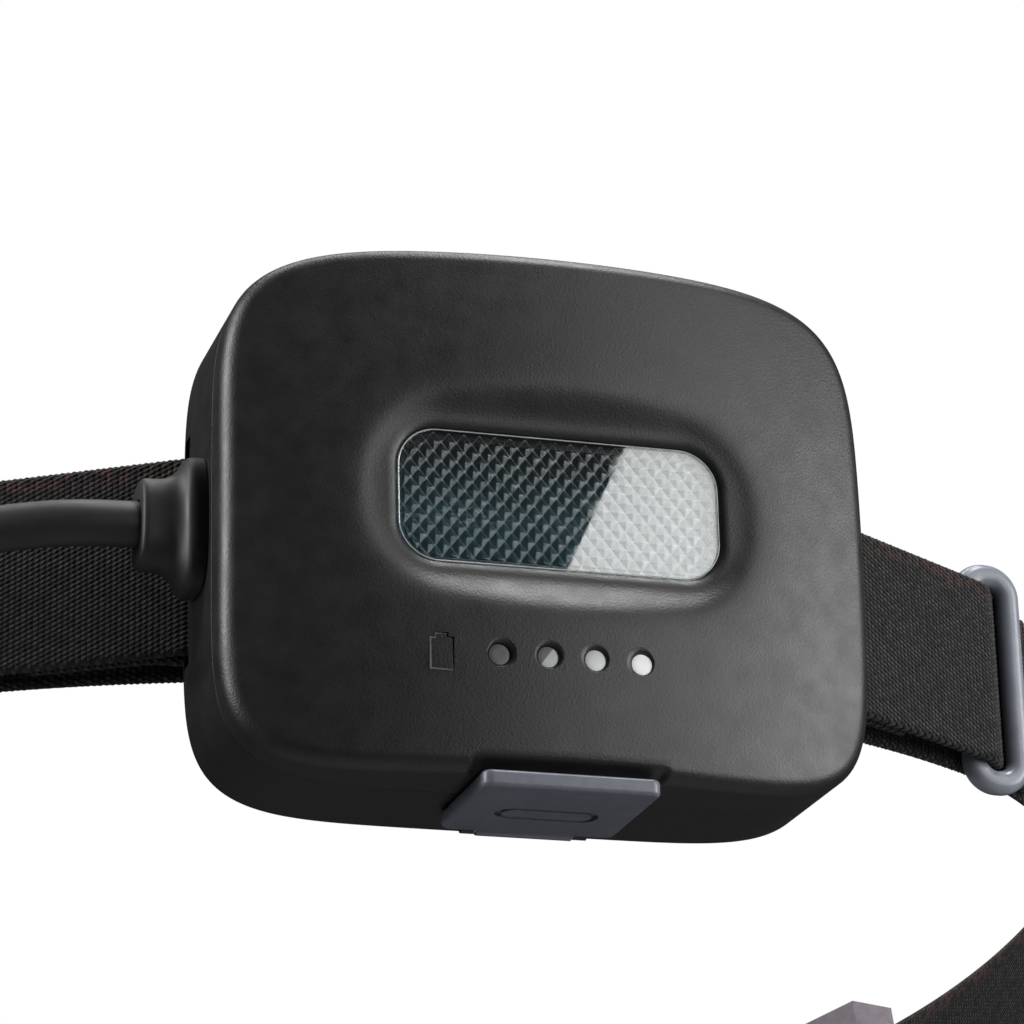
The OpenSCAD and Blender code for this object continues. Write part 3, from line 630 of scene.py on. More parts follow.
def rear_shell():
    seam, bend = SEAM_Y + 0.1, SHELL_BACK_Y - EDGE_R
    rings = [ring3(inset(WALL), seam), ring3(inset(0.12), seam), ring3(inset(0.0), seam + 0.1)]
    for y in (12, 14, 16, 18, 20, bend):
        rings.append(ring3(inset(0), y))
    for k in range(1, 11):
        a = math.radians(9 * k)
        rings.append(ring3(inset(EDGE_R * (1 - math.cos(a))), bend + EDGE_R * math.sin(a)))
    p = inset(EDGE_R)
    for t in (0.85, 0.6, 0.3, 0.02):
        rings.append(ring3(p * t, SHELL_BACK_Y))
    inner = inset(WALL)
    for t in (0.02, 0.5, 1.0):
        rings.append(ring3(inner * t, SHELL_BACK_Y - WALL))
    ob = mesh_obj("rear_shell_skin", np.vstack(rings), tube_faces(len(rings), N_ROUND, closed_path=True), at=LAMP,
                  replaces=["rear_shell"], mats=[HOUSING_REAR])
    fix_normals(ob)
    for s in (-1, 1):
        boolean(ob, prism_y(box_pts(s * 24.8, s * 31.2, -13.1, 13.1), 18.5, 22.6), "UNION")
    for s in (-1, 1):
        ear = circle(0.62, 24) + np.array([HINGE_Y, HINGE_Z])
        stalk = np.array([[HINGE_Y - 0.6, -25.0], [HINGE_Y + 0.6, -25.0]])
        low = ear[ear[:, 1] <= HINGE_Z + 1e-6]
        low = low[np.argsort(-low[:, 0])]
        boolean(ob, prism_x(np.vstack([low, stalk]), s * 4.95, s * 6.25), "UNION")
    for s in (-1, 1):
        boolean(ob, prism_y(box_pts(s * SLOT_IN, s * 33.0, -SLOT_HALF_H, SLOT_HALF_H), SLOT_Y0, SLOT_Y1))
        boolean(ob, prism_y(box_pts(s * SLOT_IN, s * BAR_IN, -SLOT_HALF_H, SLOT_HALF_H), SLOT_Y0, 25.0))
    for x in (-SCREW_X, SCREW_X):
        for z in (-SCREW_Z, SCREW_Z):
            boolean(ob, lathe_y(x, z, [(2.05, 21.4), (2.05, 23.4), (2.3, 23.7), (2.3, 25)], 32))
    boolean(ob, prism_z(round_rect(7.35, 3.15, 3.1, 12) + np.array([0, BUTTON_Y]), 23.4, 27.5))
    boolean(ob, prism_x(round_rect(2.8, 3.8, 2.75, 10) + np.array([GLAND_Y, GLAND_Z]), -33, -29))
    sharp_by_angle(ob, 32)


def box_pts(x0, x1, z0, z1):
    a, b = sorted((x0, x1))
    return [(a, z0), (b, z0), (b, z1), (a, z1)]


front = front_shell()
cut_front(front)
icon_fill()
sharp_by_angle(front, 50)
rear_shell()


# ---------------------------------------------------------------- lens

def lens_glass():
    m = Mat("lens_clear", Base_Color=(0.93, 0.98, 0.98, 1), Transmission_Weight=1.0, IOR=1.85)
    v = m.coords()
    m.rough(m.map(m.noise(v, 600, 3), 0.3, 0.7, 0.0, 0.03))
    return m.m


# painted highlight: the rim bead is coloured light grey to stand in for the light on the pane's edge
def lens_rim_painted_highlight():
    m = Mat("lens_rim_painted_highlight", Specular_IOR_Level=0.6)
    v = m.coords()
    m.color(m.ramp(m.noise(v, 900, 3), [(0.3, (0.3, 0.32, 0.33)), (0.7, (0.42, 0.44, 0.45))]))
    m.rough(m.map(m.noise(v, 500, 2), 0.3, 0.7, 0.2, 0.3))
    return m.m


def lens_lattice_material():
    """Dark teal behind the pane, with painted light: painted shade towards the top, painted glints of the lamp's
    inside low on the left and along the lattice's edges, and on the right a painted reflection of the softbox, lighter
    on the upper facets.
    """
    m = Mat("lens_lattice", Specular_IOR_Level=0.75)
    v = m.coords((1000, 1000, 1000))
    sep = m.node("SeparateXYZ")
    m.link(v, sep.inputs[0])
    x, z = sep.outputs[0], m.math("SUBTRACT", sep.outputs[2], LENS_Z + LAMP[2])
    # painted shade: the lattice's own dark teal grows darker towards the top of the lens
    depth = m.map(z, -6.0, 6.0)
    base = m.ramp(depth, [(0.0, srgb(34, 80, 92)), (0.3, srgb(44, 92, 104)), (0.6, srgb(42, 74, 84)),
                          (1.0, srgb(16, 24, 30))])
    # painted glints of the lamp's inside: streaks of near-white colour mixed in low on the left and round a spot left
    # of the middle
    cells = m.node("TexVoronoi", feature="F1")
    mp = m.node("Mapping")
    mp.inputs["Scale"].default_value = (0.9, 0.9, 2.6)
    m.link(v, mp.inputs["Vector"])
    m.link(mp.outputs["Vector"], cells.inputs["Vector"])
    cells.inputs["Scale"].default_value = 0.9
    streak = m.math("POWER", m.math("SUBTRACT", 1.0, cells.outputs["Distance"], clamp=True), 3.0)
    near = m.math("SUBTRACT", 1.0, m.math("MULTIPLY", m.math("ABSOLUTE", m.math("ADD", z, 1.7)), 0.75), clamp=True)
    left = m.map(x, 6.0, -14.0, 0.12, 1.0)
    heart = m.math("ADD", m.math("POWER", m.math("SUBTRACT", x, -9.6), 2.0),
                   m.math("POWER", m.math("SUBTRACT", z, -0.9), 2.0))
    hot = m.map(heart, 6.0, 0.3, 0.0, 1.0)
    fine = m.noise(v, 2.4, 3, 0.7)
    painted_glints = m.math("MULTIPLY", m.math("ADD", m.math("MULTIPLY", near, left), m.math("MULTIPLY", hot, 0.9)),
                  m.math("MULTIPLY", streak, m.map(fine, 0.42, 0.62)), clamp=True)
    mix = m.node("Mix", data_type="RGBA")
    m.link(painted_glints, mix.inputs[0])
    m.link(base, mix.inputs[6])
    mix.inputs[7].default_value = srgb(205, 235, 235)
    # the same diamonds as the mesh: da and db run from the middle of a pyramid (0) to its foot (0.5)
    ax, az = m.math("DIVIDE", x, CELL_W), m.math("DIVIDE", z, CELL_H)
    a, b = m.math("ADD", ax, az), m.math("SUBTRACT", ax, az)
    da, db = m.math("SUBTRACT", a, m.math("ROUND", a)), m.math("SUBTRACT", b, m.math("ROUND", b))
    fa, fb = m.math("ABSOLUTE", da), m.math("ABSOLUTE", db)
    # painted glints: the colour is lightened along the diamonds' edges and most where they cross, in patches, fainter
    # low down and fainter inside the painted reflection
    line = m.map(m.math("MAXIMUM", fa, fb), 0.43, 0.5)
    node = m.map(m.math("MINIMUM", fa, fb), 0.26, 0.46)
    # painted reflection of the softbox: right of its slanted edge (white), the upper facets and the colour towards the
    # lower right corner are painted lighter
    upper = m.map(m.math("SUBTRACT", da, db), -0.06, 0.06)
    across = m.math("SUBTRACT", x, m.math("MULTIPLY", m.math("ADD", z, 5.95), 0.476))
    white = m.map(across, 0.8, 1.15)
    patchy = m.map(m.noise(v, 0.7, 2, 0.6), 0.35, 0.65, 0.35, 1.0)
    fade = m.map(z, -5.0, 3.0, 0.3, 1.0)
    bright = m.math("MULTIPLY", m.math("ADD", m.math("MULTIPLY", line, 0.3), m.math("MULTIPLY", line, node)),
                    m.math("MULTIPLY", patchy, fade))
    dark_side = m.math("MULTIPLY", bright, m.math("SUBTRACT", 1.0, m.math("MULTIPLY", white, 0.6)))
    towards_corner = m.map(m.math("SUBTRACT", x, z), 2.0, 18.0, 0.1, 0.6)
    painted_facet_light = m.math("MULTIPLY", white, m.math("ADD", m.math("MULTIPLY", upper, 0.75), towards_corner))
    # lit mixes the painted glints and the painted reflection into the colour as near-white
    lit = m.node("Mix", data_type="RGBA")
    m.link(m.math("ADD", dark_side, painted_facet_light, clamp=True), lit.inputs[0])
    m.link(mix.outputs[2], lit.inputs[6])
    lit.inputs[7].default_value = srgb(240, 240, 238)
    m.color(lit.outputs[2])
    m.rough(m.map(m.noise(v, 1.5, 2), 0.3, 0.7, 0.12, 0.2))
    return m.m


def lens_solid():
    """Flat clear pane with a thin rim bead, coloured light grey as a painted highlight, and the pyramid lattice on a
    plate behind it.
    """
    hw, hh, r = LENS_HW - 0.08, LENS_HH - 0.08, LENS_R - 0.05
    base = resample(round_rect(hw, hh, r, 16), 300)
    nrm = normals_of(base)
    lift = np.array([0, LENS_Z])
    rings = [ring3(base - nrm * s + lift, y)
             for s, y in ((0.12, LENS_Y + 0.35), (0.12, LENS_Y + 0.03), (0.16, LENS_Y))]
    pane = mesh_obj("lens_pane", np.vstack(rings), tube_faces(len(rings), len(base)), body=None, at=LAMP,
                    mats=[lens_glass()], smooth=False)
    fix_normals(pane)
    # the rim bead, coloured as a painted highlight on the pane's edge
    bead = []
    for k in range(8):
        a = 2 * math.pi * k / 8
        bead.append(ring3(base - nrm * (0.07 - 0.075 * math.cos(a)) + lift, LENS_Y + 0.06 - 0.075 * math.sin(a)))
    rim = mesh_obj("lens_rim_painted_highlight", np.vstack(bead), tube_faces(8, len(base), closed_path=True), body=None,
                   at=LAMP, mats=[lens_rim_painted_highlight()])
    fix_normals(rim)
    # the plate with the lattice: a grid squeezed inside the lens outline, its edge turned back
    w, h, rise, back = CELL_W, CELL_H, 0.24, LENS_Y + 1.15
    step = 0.055
    nx, nz = int(2 * hw / step), int(2 * hh / step)
    gx, gz = np.meshgrid(np.linspace(-hw, hw, nx), np.linspace(-hh, hh, nz))
    d = sd_round(gx, gz, hw, hh, r)
    e = 1e-3
    ex = (sd_round(gx + e, gz, hw, hh, r) - d) / e
    ez = (sd_round(gx, gz + e, hw, hh, r) - d) / e
    push = np.maximum(d, 0)
    gx, gz = gx - ex * push, gz - ez * push
    a, b = gx / w + gz / h, gx / w - gz / h
    fa, fb = np.abs(a - np.round(a)) * 2, np.abs(b - np.round(b)) * 2
    k = 0.1
    top = (fa + fb + np.sqrt((fa - fb) ** 2 + k * k)) / 2
    inside = smooth_step(-sd_round(gx, gz, hw - 0.75, hh - 0.75, r - 0.6) / 0.12)
    y = back - rise * np.maximum(1 - top, 0) * inside
    verts = np.stack([gx.ravel(), y.ravel(), gz.ravel() + LENS_Z], 1)
    faces = [[j * nx + i, j * nx + i + 1, (j + 1) * nx + i + 1, (j + 1) * nx + i]
             for j in range(nz - 1) for i in range(nx - 1)]
    edge = ([i for i in range(nx)] + [j * nx + nx - 1 for j in range(1, nz)]
            + [(nz - 1) * nx + i for i in range(nx - 2, -1, -1)] + [j * nx for j in range(nz - 2, 0, -1)])
    n0 = len(verts)
    verts = np.vstack([verts, [[verts[i][0], 5.35, verts[i][2]] for i in edge]])
    for i in range(len(edge)):
        j = (i + 1) % len(edge)
        faces.append([edge[j], edge[i], n0 + i, n0 + j])
    faces.append([n0 + i for i in range(len(edge))])
    plate = mesh_obj("lens_lattice", verts, faces, body=None, at=LAMP, mats=[lens_lattice_material()])
    sharp_by_angle(plate, 60)
    ob = join_meshes([pane, rim, plate])
    ob.name = "lens_plate"
    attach(ob, ROOT)
    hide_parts("lens")


lens_solid()


# ---------------------------------------------------------------- light pipes, gland, lead, flap, button

def pipe_material():
    """Gauge discs: dark grey on the left to white on the right, a painted reflection of the softbox whose slanted edge
    crosses the second disc.
    """
    m = Mat("light_pipe", Specular_IOR_Level=0.3)
    v = m.coords((1000, 1000, 1000))
    sep = m.node("SeparateXYZ")
    m.link(v, sep.inputs[0])
    x, z = sep.outputs[0], sep.outputs[2]
    # painted reflection: the slanted edge of the softbox's reflection splits the discs into dark grey on the left and
    # lighter grey to white on the right
    slanted = m.math("SUBTRACT", x, m.math("MULTIPLY", m.math("SUBTRACT", z, GAUGE_Z + LAMP[2]), 0.75))
    ramp = m.ramp(m.map(slanted, -7.5, 7.5), [(0.0, srgb(80, 82, 83)), (0.335, srgb(92, 94, 95)),
                                              (0.342, srgb(168, 170, 170)), (0.6, srgb(190, 192, 193)),
                                              (0.9, srgb(250, 250, 250))])
    m.color(ramp)
    m.rough(m.map(m.noise(v, 0.8, 2), 0.3, 0.7, 0.25, 0.4))
    return m.m


PIPE = pipe_material()
pipes = []
for x in GAUGE_X:
    y0 = float(crown(np.array(x), np.array(GAUGE_Z)))
    face = y0 + 0.3
    rings = []
    a = np.linspace(0, 2 * math.pi, 48, endpoint=False)
    for r, y in ((1.03, face + 8), (1.03, face + 0.1), (1.0, face + 0.02), (0.95, face), (0.5, face), (0.02, face)):
        rings.append(np.stack([x + r * np.cos(a), np.full(48, y), GAUGE_Z + r * np.sin(a)], 1))
    o = mesh_obj("light_pipes_piece", np.vstack(rings), tube_faces(len(rings), 48), body=None, at=LAMP, mats=[PIPE])
    fix_normals(o)
    pipes.append(o)
pipe = join_meshes(pipes)
pipe.name = "light_pipe_row"
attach(pipe, ROOT)
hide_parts("light_pipes")
sharp_by_angle(pipe, 40)


def gland():
    """Bell-shaped rubber sleeve: (distance from the wall, half width, half height, squareness)."""
    profile = [(-3.0, 2.6, 4.9, 2.4), (-1.9, 2.6, 4.9, 2.4), (-1.85, 2.6, 3.6, 2.4), (-0.02, 2.6, 3.6, 2.4),
               (-0.02, 4.3, 6.5, 2.9), (0.2, 4.5, 6.7, 3.0), (1.2, 4.5, 6.7, 3.0), (1.6, 4.44, 6.62, 3.0),
               (1.95, 4.25, 6.35, 2.9), (2.2, 3.95, 5.95, 2.8), (2.5, 3.7, 5.45, 2.7), (2.9, 3.48, 5.02, 2.6),
               (3.4, 3.32, 4.72, 2.6), (4.0, 3.24, 4.54, 2.6), (4.7, 3.2, 4.47, 2.6), (5.5, 3.18, 4.45, 2.6),
               (5.8, 3.12, 4.38, 2.6), (6.0, 2.98, 4.22, 2.6), (6.1, 2.75, 3.95, 2.6), (6.12, 2.3, 2.4, 2.1),
               (5.0, 2.28, 2.28, 2.0)]
    rows = profile[:5] + list(catmull(profile[5:19], 0.12)) + profile[19:]
    rings = []
    for d, a, b, p in rows:
        o = superoval(a, b, p, 96)
        rings.append(np.stack([np.full(96, GLAND_X - d), GLAND_Y + o[:, 0], GLAND_Z + o[:, 1]], 1))
    ob = mesh_obj("gland_sleeve", np.vstack(rings), tube_faces(len(rings), 96), at=LAMP, replaces=["cable_gland"],
                  mats=[RUBBER])
    fix_normals(ob)
    sharp_by_angle(ob, 60)


gland()

# The band's own measures: the ring, the forehead, and the loop round the head
BAND_R, BAND_T, BAND_W = 102.0, 1.4, 20.0
RING_AT, RING_ANGLE, RING_HALF_L, RING_WIRE = np.array([59.2, 15.26]), math.radians(33.5), 2.36, 2.6
RING_HALF_H, RING_CORNER_R = 11.6, 2.4
BAND_PLAY = 0.38
LAYER = RING_WIRE / 2 + BAND_PLAY + BAND_T / 2
RING_TWIST = math.atan(LAYER / (2 * RING_HALF_L))
RING_U = np.array([math.cos(RING_ANGLE), math.sin(RING_ANGLE)])
RING_N = np.array([math.sin(RING_ANGLE), -math.cos(RING_ANGLE)])
JOIN = RING_AT + RING_HALF_L * RING_U - (BAND_T + 0.9) * RING_N
BAND_CY = JOIN[1] + math.sqrt(BAND_R ** 2 - JOIN[0] ** 2)
TILT, DROP_EASE = math.tan(math.radians(10)), 6
FOREHEAD_Y = -BAND_T / 2
FOREHEAD_R = (JOIN[0] ** 2 + (JOIN[1] - FOREHEAD_Y) ** 2) / (2 * (JOIN[1] - FOREHEAD_Y))


def drop(y):
    """How far the band lies below the forehead at a depth."""
    return TILT * (math.sqrt(max(y - JOIN[1], 0) ** 2 + DROP_EASE ** 2) - DROP_EASE)


PACK_Z = -drop(BAND_CY + BAND_R)


def band_point(deg, r):
    """Point round the band, with the angle from the front."""
    a = math.radians(deg)
    return np.array([r * math.sin(a), BAND_CY - r * math.cos(a), -drop(BAND_CY - BAND_R * math.cos(a))])


LEAD_R = 2.25
LEAD_OFF = BAND_T / 2 + 0.15 + 0.9 + 0.1 + LEAD_R
route = [[-28.6, -9.8, 0.8], [-33, -9.8, 0.8], [-38, -9.8, 0.8], [-45, -9.2, 0.6], [-52, -6.8, 0.1],
         [-59, -2.6, -0.3], [-65.5, 3.8, -0.4], [-71.5, 12, -0.5], [-79, 25, -1.4], [-87, 38, -3], [-93.6, 49.2, -4.7]]
route += [band_point(-a, BAND_R + LEAD_OFF) for a in range(66, 139, 6)]
route += [[x, BAND_CY + y, PACK_Z + z] for x, y, z in
          ([-66, 83.3, 2.9], [-61, 88.9, 2], [-56, 94.2, 1.3], [-51.4, 98.8, 0.6], [-48, 101.6, 0.2],
           [-44.6, 103, 0], [-40, 103, 0], [-35, 103, 0])]


def sweep(path, section):
    """Rings of a section (n, 2) carried along a path; the section's second axis stays towards +Z."""
    t = np.gradient(path, axis=0)
    t /= np.linalg.norm(t, axis=1)[:, None]
    s = np.cross(t, (0.0, 0.0, 1.0))
    s /= np.linalg.norm(s, axis=1)[:, None]
    u = np.cross(s, t)
    return path[:, None, :] + section[None, :, 0, None] * s[:, None, :] + section[None, :, 1, None] * u[:, None, :]


lead_path = catmull(route, 1.5)
lead_rings = sweep(lead_path, circle(LEAD_R - 0.02, 40))
lead = mesh_obj("lead_cable", lead_rings.reshape(-1, 3), tube_faces(len(lead_path), 40), replaces=["lead"],
                mats=[RUBBER])
fix_normals(lead)


def soften(ob, width, segments):
    """Rounds the edges of a piece."""
    mod = ob.modifiers.new("round", "BEVEL")
    mod.width = width * MM
    mod.segments = segments
    mod.limit_method = "ANGLE"
    mod.angle_limit = math.radians(35)
    apply_modifiers(ob)
    sharp_by_angle(ob, 48)


def flap():
    cover_l, cover_w, t = 14.8, 17.2, 1.6
    plate_y = HINGE_Y - 1 - 0.35 - cover_l / 2
    lo = -HALF_H - 0.05 - t
    back = 0.55                                # the plate runs on a little over its hinge
    port = np.array([0, PORT_Y])
    plate = prism_z(round_rect(cover_w / 2, (cover_l + back) / 2, 1.0, 10) + np.array([0, plate_y + back / 2]),
                    lo, lo + t)
    soften(plate, 0.4, 4)
    groove = prism_z(round_rect(5.05, 1.75, 1.74, 12) + port, lo - 1, lo + 0.42)
    boolean(groove, prism_z(round_rect(4.4, 1.1, 1.09, 12) + port, lo - 2, lo + 1))
    boolean(plate, groove)
    tongue = prism_z(np.array([[-4.8, plate_y + cover_l / 2 - 0.5], [4.8, plate_y + cover_l / 2 - 0.5],
                               [4.8, HINGE_Y], [-4.8, HINGE_Y]]), lo + 0.02, lo + t - 0.02)
    soften(tongue, 0.12, 2)
    knuckle = prism_x(circle(0.75, 40) + np.array([HINGE_Y, HINGE_Z]), -4.8, 4.8)
    soften(knuckle, 0.12, 2)
    plug = prism_z(round_rect(3.8, 0.95, 0.9, 8) + port, -HALF_H - 0.1, -HALF_H + 0.7)
    soften(plug, 0.15, 2)
    for o in (plate, tongue, knuckle, plug):
        o.data.materials.clear()
        o.data.materials.append(GREY)
    ob = join_meshes([plate, tongue, knuckle, plug])
    ob.name = "port_flap"
    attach(ob, "port_cover")
    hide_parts("port_cover")
    sharp_by_angle(ob, 48)


flap()


def button():
    place = np.array([0, BUTTON_Y])
    top = prism_z(round_rect(7.0, 2.8, 2.79, 16) + place, HALF_H - 3.0, HALF_H + 1.0)
    soften(top, 0.5, 5)
    rim = prism_z(round_rect(8.0, 3.8, 2.8, 16) + place, HALF_H - 3.0, HALF_H - 2.2)
    ob = join_meshes([top, rim])
    ob.name = "button_cap"
    ob.data.materials.clear()
    ob.data.materials.append(GREY)
    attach(ob, "power_button")
    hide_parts("power_button")


button()


# ---------------------------------------------------------------- webbing

def strip(path2, zs, name, replaces, cross=24, relief=0.0):
    """Webbing on edge along a line seen from above; zs gives the middle height at each point, and relief the
    height of the stitches in the mesh."""
    p = np.asarray(path2, float)
    d = np.gradient(p, axis=0)
    d /= np.linalg.norm(d, axis=1)[:, None]
    out = np.stack([d[:, 1], -d[:, 0]], 1)
    s = np.concatenate([[0], np.cumsum(np.linalg.norm(np.diff(p, axis=0), axis=1))])
    t, w = BAND_T / 2, BAND_W / 2
    rows = []                                  # (offset across, height, v)
    for k in range(cross + 1):
        v = -w + 2 * w * k / cross
        edge = max(0.0, abs(v) - (w - 0.6)) / 0.6
        rows.append((t * math.sqrt(max(0.0, 1 - 0.8 * edge ** 2)), v))
    ring = [(a, v) for a, v in rows] + [(-a, v) for a, v in rows[::-1]]
    n = len(ring)
    verts, uv = [], []
    for i in range(len(p)):
        for a, v in ring:
            verts.append((p[i, 0] + out[i, 0] * a, p[i, 1] + out[i, 1] * a, zs[i] + v))
            uv.append((s[i], v + w))
    verts = np.array(verts)
    if relief:
        u_, v_ = np.array(uv).T
        col = u_ / STITCH_L
        shift = (np.floor(col) % 2) * 0.5
        row = v_ / STITCH_W + shift
        fu, fv = col % 1 - 0.5, row % 1 - 0.5
        dome = np.clip(1 - 3.2 * fu ** 2 - 4.2 * (fv + 0.5 * fu) ** 2, 0, 1)
        o = np.repeat(out, n, axis=0)
        side = np.tile(np.sign([a for a, _ in ring]), len(p))
        edge = np.tile([1.0 if abs(v) > w - 0.3 else 0.0 for _, v in ring], len(p))
        verts[:, :2] += o * (side * dome * relief)[:, None]
        bite = (np.sin(u_ * 2 * math.pi / STITCH_L) * 0.5 + 0.5) * 0.1
        verts[:, 2] -= np.sign(verts[:, 2] - np.repeat(zs, n)) * edge * bite
    ob = mesh_obj(name, verts, tube_faces(len(p), n), replaces=replaces, mats=[WEB], uv=uv)
    fix_normals(ob)


def dense_line(points, step, corner):
    """A line along straight runs with softened corners."""
    pts = [np.array(p, float) for p in points]
    out = [pts[0]]
    for i in range(1, len(pts) - 1):
        a, b, c = pts[i - 1], pts[i], pts[i + 1]
        la, lc = np.linalg.norm(a - b), np.linalg.norm(c - b)
        r = min(corner, la * 0.45, lc * 0.45)
        p0, p1 = b + (a - b) / la * r, b + (c - b) / lc * r
        for k in range(6):
            t = k / 5
            out.append((1 - t) ** 2 * p0 + 2 * t * (1 - t) * b + t * t * p1)
    out.append(pts[-1])
    q = np.array(out)
    s = np.concatenate([[0], np.cumsum(np.linalg.norm(np.diff(q, axis=0), axis=1))])
    n = max(2, int(s[-1] / step))
    t = np.linspace(0, s[-1], n + 1)
    return np.stack([np.interp(t, s, q[:, 0]), np.interp(t, s, q[:, 1])], 1)


OVER = RING_AT - RING_HALF_L * RING_U + LAYER * RING_N
UNDER = RING_AT + RING_HALF_L * RING_U
BAND_START = math.degrees(math.asin(JOIN[0] / BAND_R))
STEP = 0.14
TAIL = [band_point(BAND_START + 0.6 * a, BAND_R + BAND_T + 0.05)[:2] for a in (4, 8)]
outer_line = [[45.4, 5.2], [34.5, -1.0], [27.5, -1.0], [27.5, -4.55], [32, -4.55], OVER, UNDER, TAIL[0], TAIL[1]]
line = dense_line(outer_line, STEP, 1.2)
for s, side in ((1, "right"), (-1, "left")):
    l = line * np.array([s, 1])
    strip(l, np.zeros(len(l)), f"outer_webbing_{side}", [f"strap_{side}"], cross=140, relief=0.1)

fa = math.asin(JOIN[0] / FOREHEAD_R)
angles = np.linspace(-fa, fa, 420)
fore = np.stack([FOREHEAD_R * np.sin(angles), FOREHEAD_Y + FOREHEAD_R - FOREHEAD_R * np.cos(angles)], 1)
strip(fore, np.zeros(len(fore)), "forehead_webbing", ["forehead_band"], cross=40, relief=0.08)

BAND_END = 180 - math.degrees(math.asin(31 / BAND_R))
degs = np.linspace(BAND_START, BAND_END, 520)
for s, side in ((1, "right"), (-1, "left")):
    pts = np.array([band_point(d, BAND_R) for d in degs])
    strip(pts[:, :2] * np.array([s, 1]), pts[:, 2], f"side_webbing_{side}", [f"side_band_{side}"], cross=24)


# ---------------------------------------------------------------- rings

def wire_ring(side, name, node):
    """Ring of wire with round corners, twisted a little so that both layers of webbing clear it."""
    shift = RING_HALF_L * math.tan(RING_TWIST)
    l = RING_HALF_L / math.cos(RING_TWIST)
    c = RING_AT + RING_N * shift
    a = RING_ANGLE - RING_TWIST
    ux = np.array([math.cos(a), math.sin(a), 0])
    line2 = resample(round_rect(l, RING_HALF_H, RING_CORNER_R, 16), 240)
    path = np.array([c[0], c[1], 0]) + line2[:, :1] * ux + line2[:, 1:] * np.array([0, 0, 1.0])
    nrm = np.array([ux[1], -ux[0], 0])
    t = np.roll(path, -1, 0) - np.roll(path, 1, 0)
    t /= np.linalg.norm(t, axis=1)[:, None]
    s = np.cross(t, nrm)
    sec = superoval(RING_WIRE / 2, RING_WIRE / 2, 2.15, 40)
    rings = path[:, None, :] + sec[None, :, 0, None] * s[:, None, :] + sec[None, :, 1, None] * nrm[None, None, :]
    v = rings.reshape(-1, 3) * np.array([side, 1, 1])
    ob = mesh_obj(name, v, tube_faces(len(path), 40, closed_path=True), replaces=[node], mats=[RING])
    fix_normals(ob)


wire_ring(1, "wire_ring_right", "ring_right")
wire_ring(-1, "wire_ring_left", "ring_left")


# ---------------------------------------------------------------- CAD nodes that stay

KEEP = {"shell_seal": SEAL, "lens_gasket": SEAL, "reflector": CHROME, "led_board": WHITE_BOARD, "leds": WHITE_BOARD,
        "heat_spreader": STEEL, "control_board": BOARD, "gauge_leds": WHITE_BOARD, "usb_port": STEEL,
        "cover_pin": STEEL, "tact_switch": CLIP, "switch_board": BOARD, "shell_screws": STEEL, "lead_clips": CLIP,
        "adjuster": ADJUSTER, "pack_base": PACK, "pack_cover": HOUSING_REAR, "pack_seal": SEAL, "pack_gland": RUBBER,
        "cell": plain_plastic("cell_wrap", (0.02, 0.1, 0.25), (0.03, 0.13, 0.3), 0.3), "cell_tabs": STEEL,
        "cell_board": BOARD, "pack_screws": STEEL}
for node, mat in KEEP.items():
    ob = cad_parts[node]
    ob.data.materials.clear()
    ob.data.materials.append(mat)


# ---------------------------------------------------------------- floor and light

def stage_floor():
    n = 40
    size = 9.0
    v = [((i / n - 0.5) * size, (j / n - 0.5) * size, -1.6) for j in range(n + 1) for i in range(n + 1)]
    f = [[j * (n + 1) + i, j * (n + 1) + i + 1, (j + 1) * (n + 1) + i + 1, (j + 1) * (n + 1) + i]
         for j in range(n) for i in range(n)]
    me = bpy.data.meshes.new("floor")
    me.from_pydata(v, [], f)
    m = Mat("floor", Roughness=0.8)
    m.color(m.ramp(m.noise(m.coords(), 3, 3), [(0.3, (0.8, 0.8, 0.8)), (0.7, (0.84, 0.84, 0.84))]))
    me.materials.append(m.m)
    ob = bpy.data.objects.new("floor", me)
    bpy.context.collection.objects.link(ob)


stage_floor()
LIT_POINT = Vector((0, -0.02, 0))


def panel(name, width, height, power):
    data = bpy.data.lights.new(name, "AREA")
    data.shape = "RECTANGLE"
    data.size, data.size_y = width, height
    data.energy = power
    ob = bpy.data.objects.new(name, data)
    ob.visible_camera = False
    bpy.context.collection.objects.link(ob)
    return ob


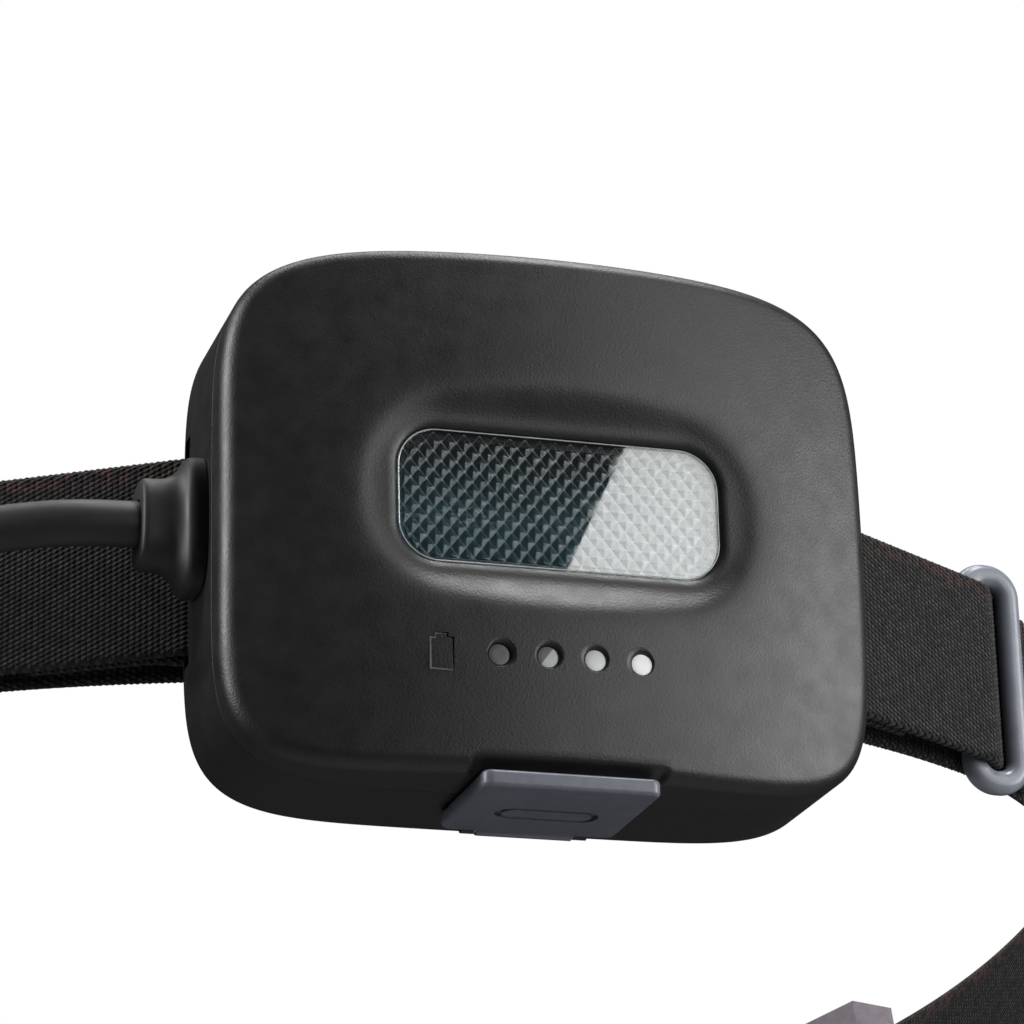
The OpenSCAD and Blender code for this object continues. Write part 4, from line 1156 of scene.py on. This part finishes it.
def area_light(name, corner_a, corner_b, width_dir, width, power):
    """Rectangular light with one edge from corner_a to corner_b, going sideways by width along width_dir."""
    a, b = Vector(corner_a), Vector(corner_b)
    y = (b - a)
    h = y.length
    y.normalize()
    w = Vector(width_dir)
    w = (w - y * w.dot(y)).normalized()
    centre = (a + b) / 2 + w * width / 2
    z = w.cross(y)
    if z.dot(LIT_POINT - centre) > 0:
        z, w = -z, -w
    ob = panel(name, width, h, power)
    ob.matrix_world = Matrix(((w.x, y.x, z.x, centre.x), (w.y, y.y, z.y, centre.y), (w.z, y.z, z.z, centre.z),
                              (0, 0, 0, 1)))


def spot_area(name, place, size_x, size_y, power):
    """Rectangular light at a place, turned to the lamp."""
    ob = panel(name, size_x, size_y, power)
    ob.location = place
    ob.rotation_mode = "QUATERNION"
    ob.rotation_quaternion = (LIT_POINT - Vector(place)).to_track_quat("-Z", "Y")


# The large softbox's edge shows in the lens as a slanted line: two points of that line on the lens, mirrored out.
def mirrored(x, z, distance):
    p = Vector((x, LAMP[1] + LENS_Y, z + LAMP[2])) * MM
    d = (p - EYE).normalized()
    d.y = -d.y
    return p + d * distance


edge_low, edge_high = mirrored(0.6, -5.3, 0.9), mirrored(6.6, 7.3, 0.9)
along = (edge_high - edge_low).normalized()
middle = (edge_low + edge_high) / 2
area_light("softbox", middle - along * 0.5, middle + along * 0.6, (1, 0.1, 0), 1.3, 11)
spot_area("right_box", (0.88, -0.44, 0.1), 0.4, 0.7, 6)
spot_area("high_box", (0.28, -0.2, 0.95), 0.4, 0.25, 6)
spot_area("left_strip", (-0.9, 0.02, 0.38), 0.08, 0.8, 11)
spot_area("top_box", (0.0, 0.25, 1.0), 0.8, 0.3, 5)

world = bpy.data.worlds.new("world")
bpy.context.scene.world = world
world.use_nodes = True
wt = world.node_tree
bg = wt.nodes["Background"]
bg.inputs["Color"].default_value = (1, 1, 1, 1)
path_node = wt.nodes.new("ShaderNodeLightPath")
level = wt.nodes.new("ShaderNodeMapRange")
level.inputs["To Min"].default_value = 0.04
level.inputs["To Max"].default_value = 1.0
wt.links.new(path_node.outputs["Is Camera Ray"], level.inputs["Value"])
wt.links.new(level.outputs["Result"], bg.inputs["Strength"])
bpy.context.scene.view_settings.view_transform = "Standard"
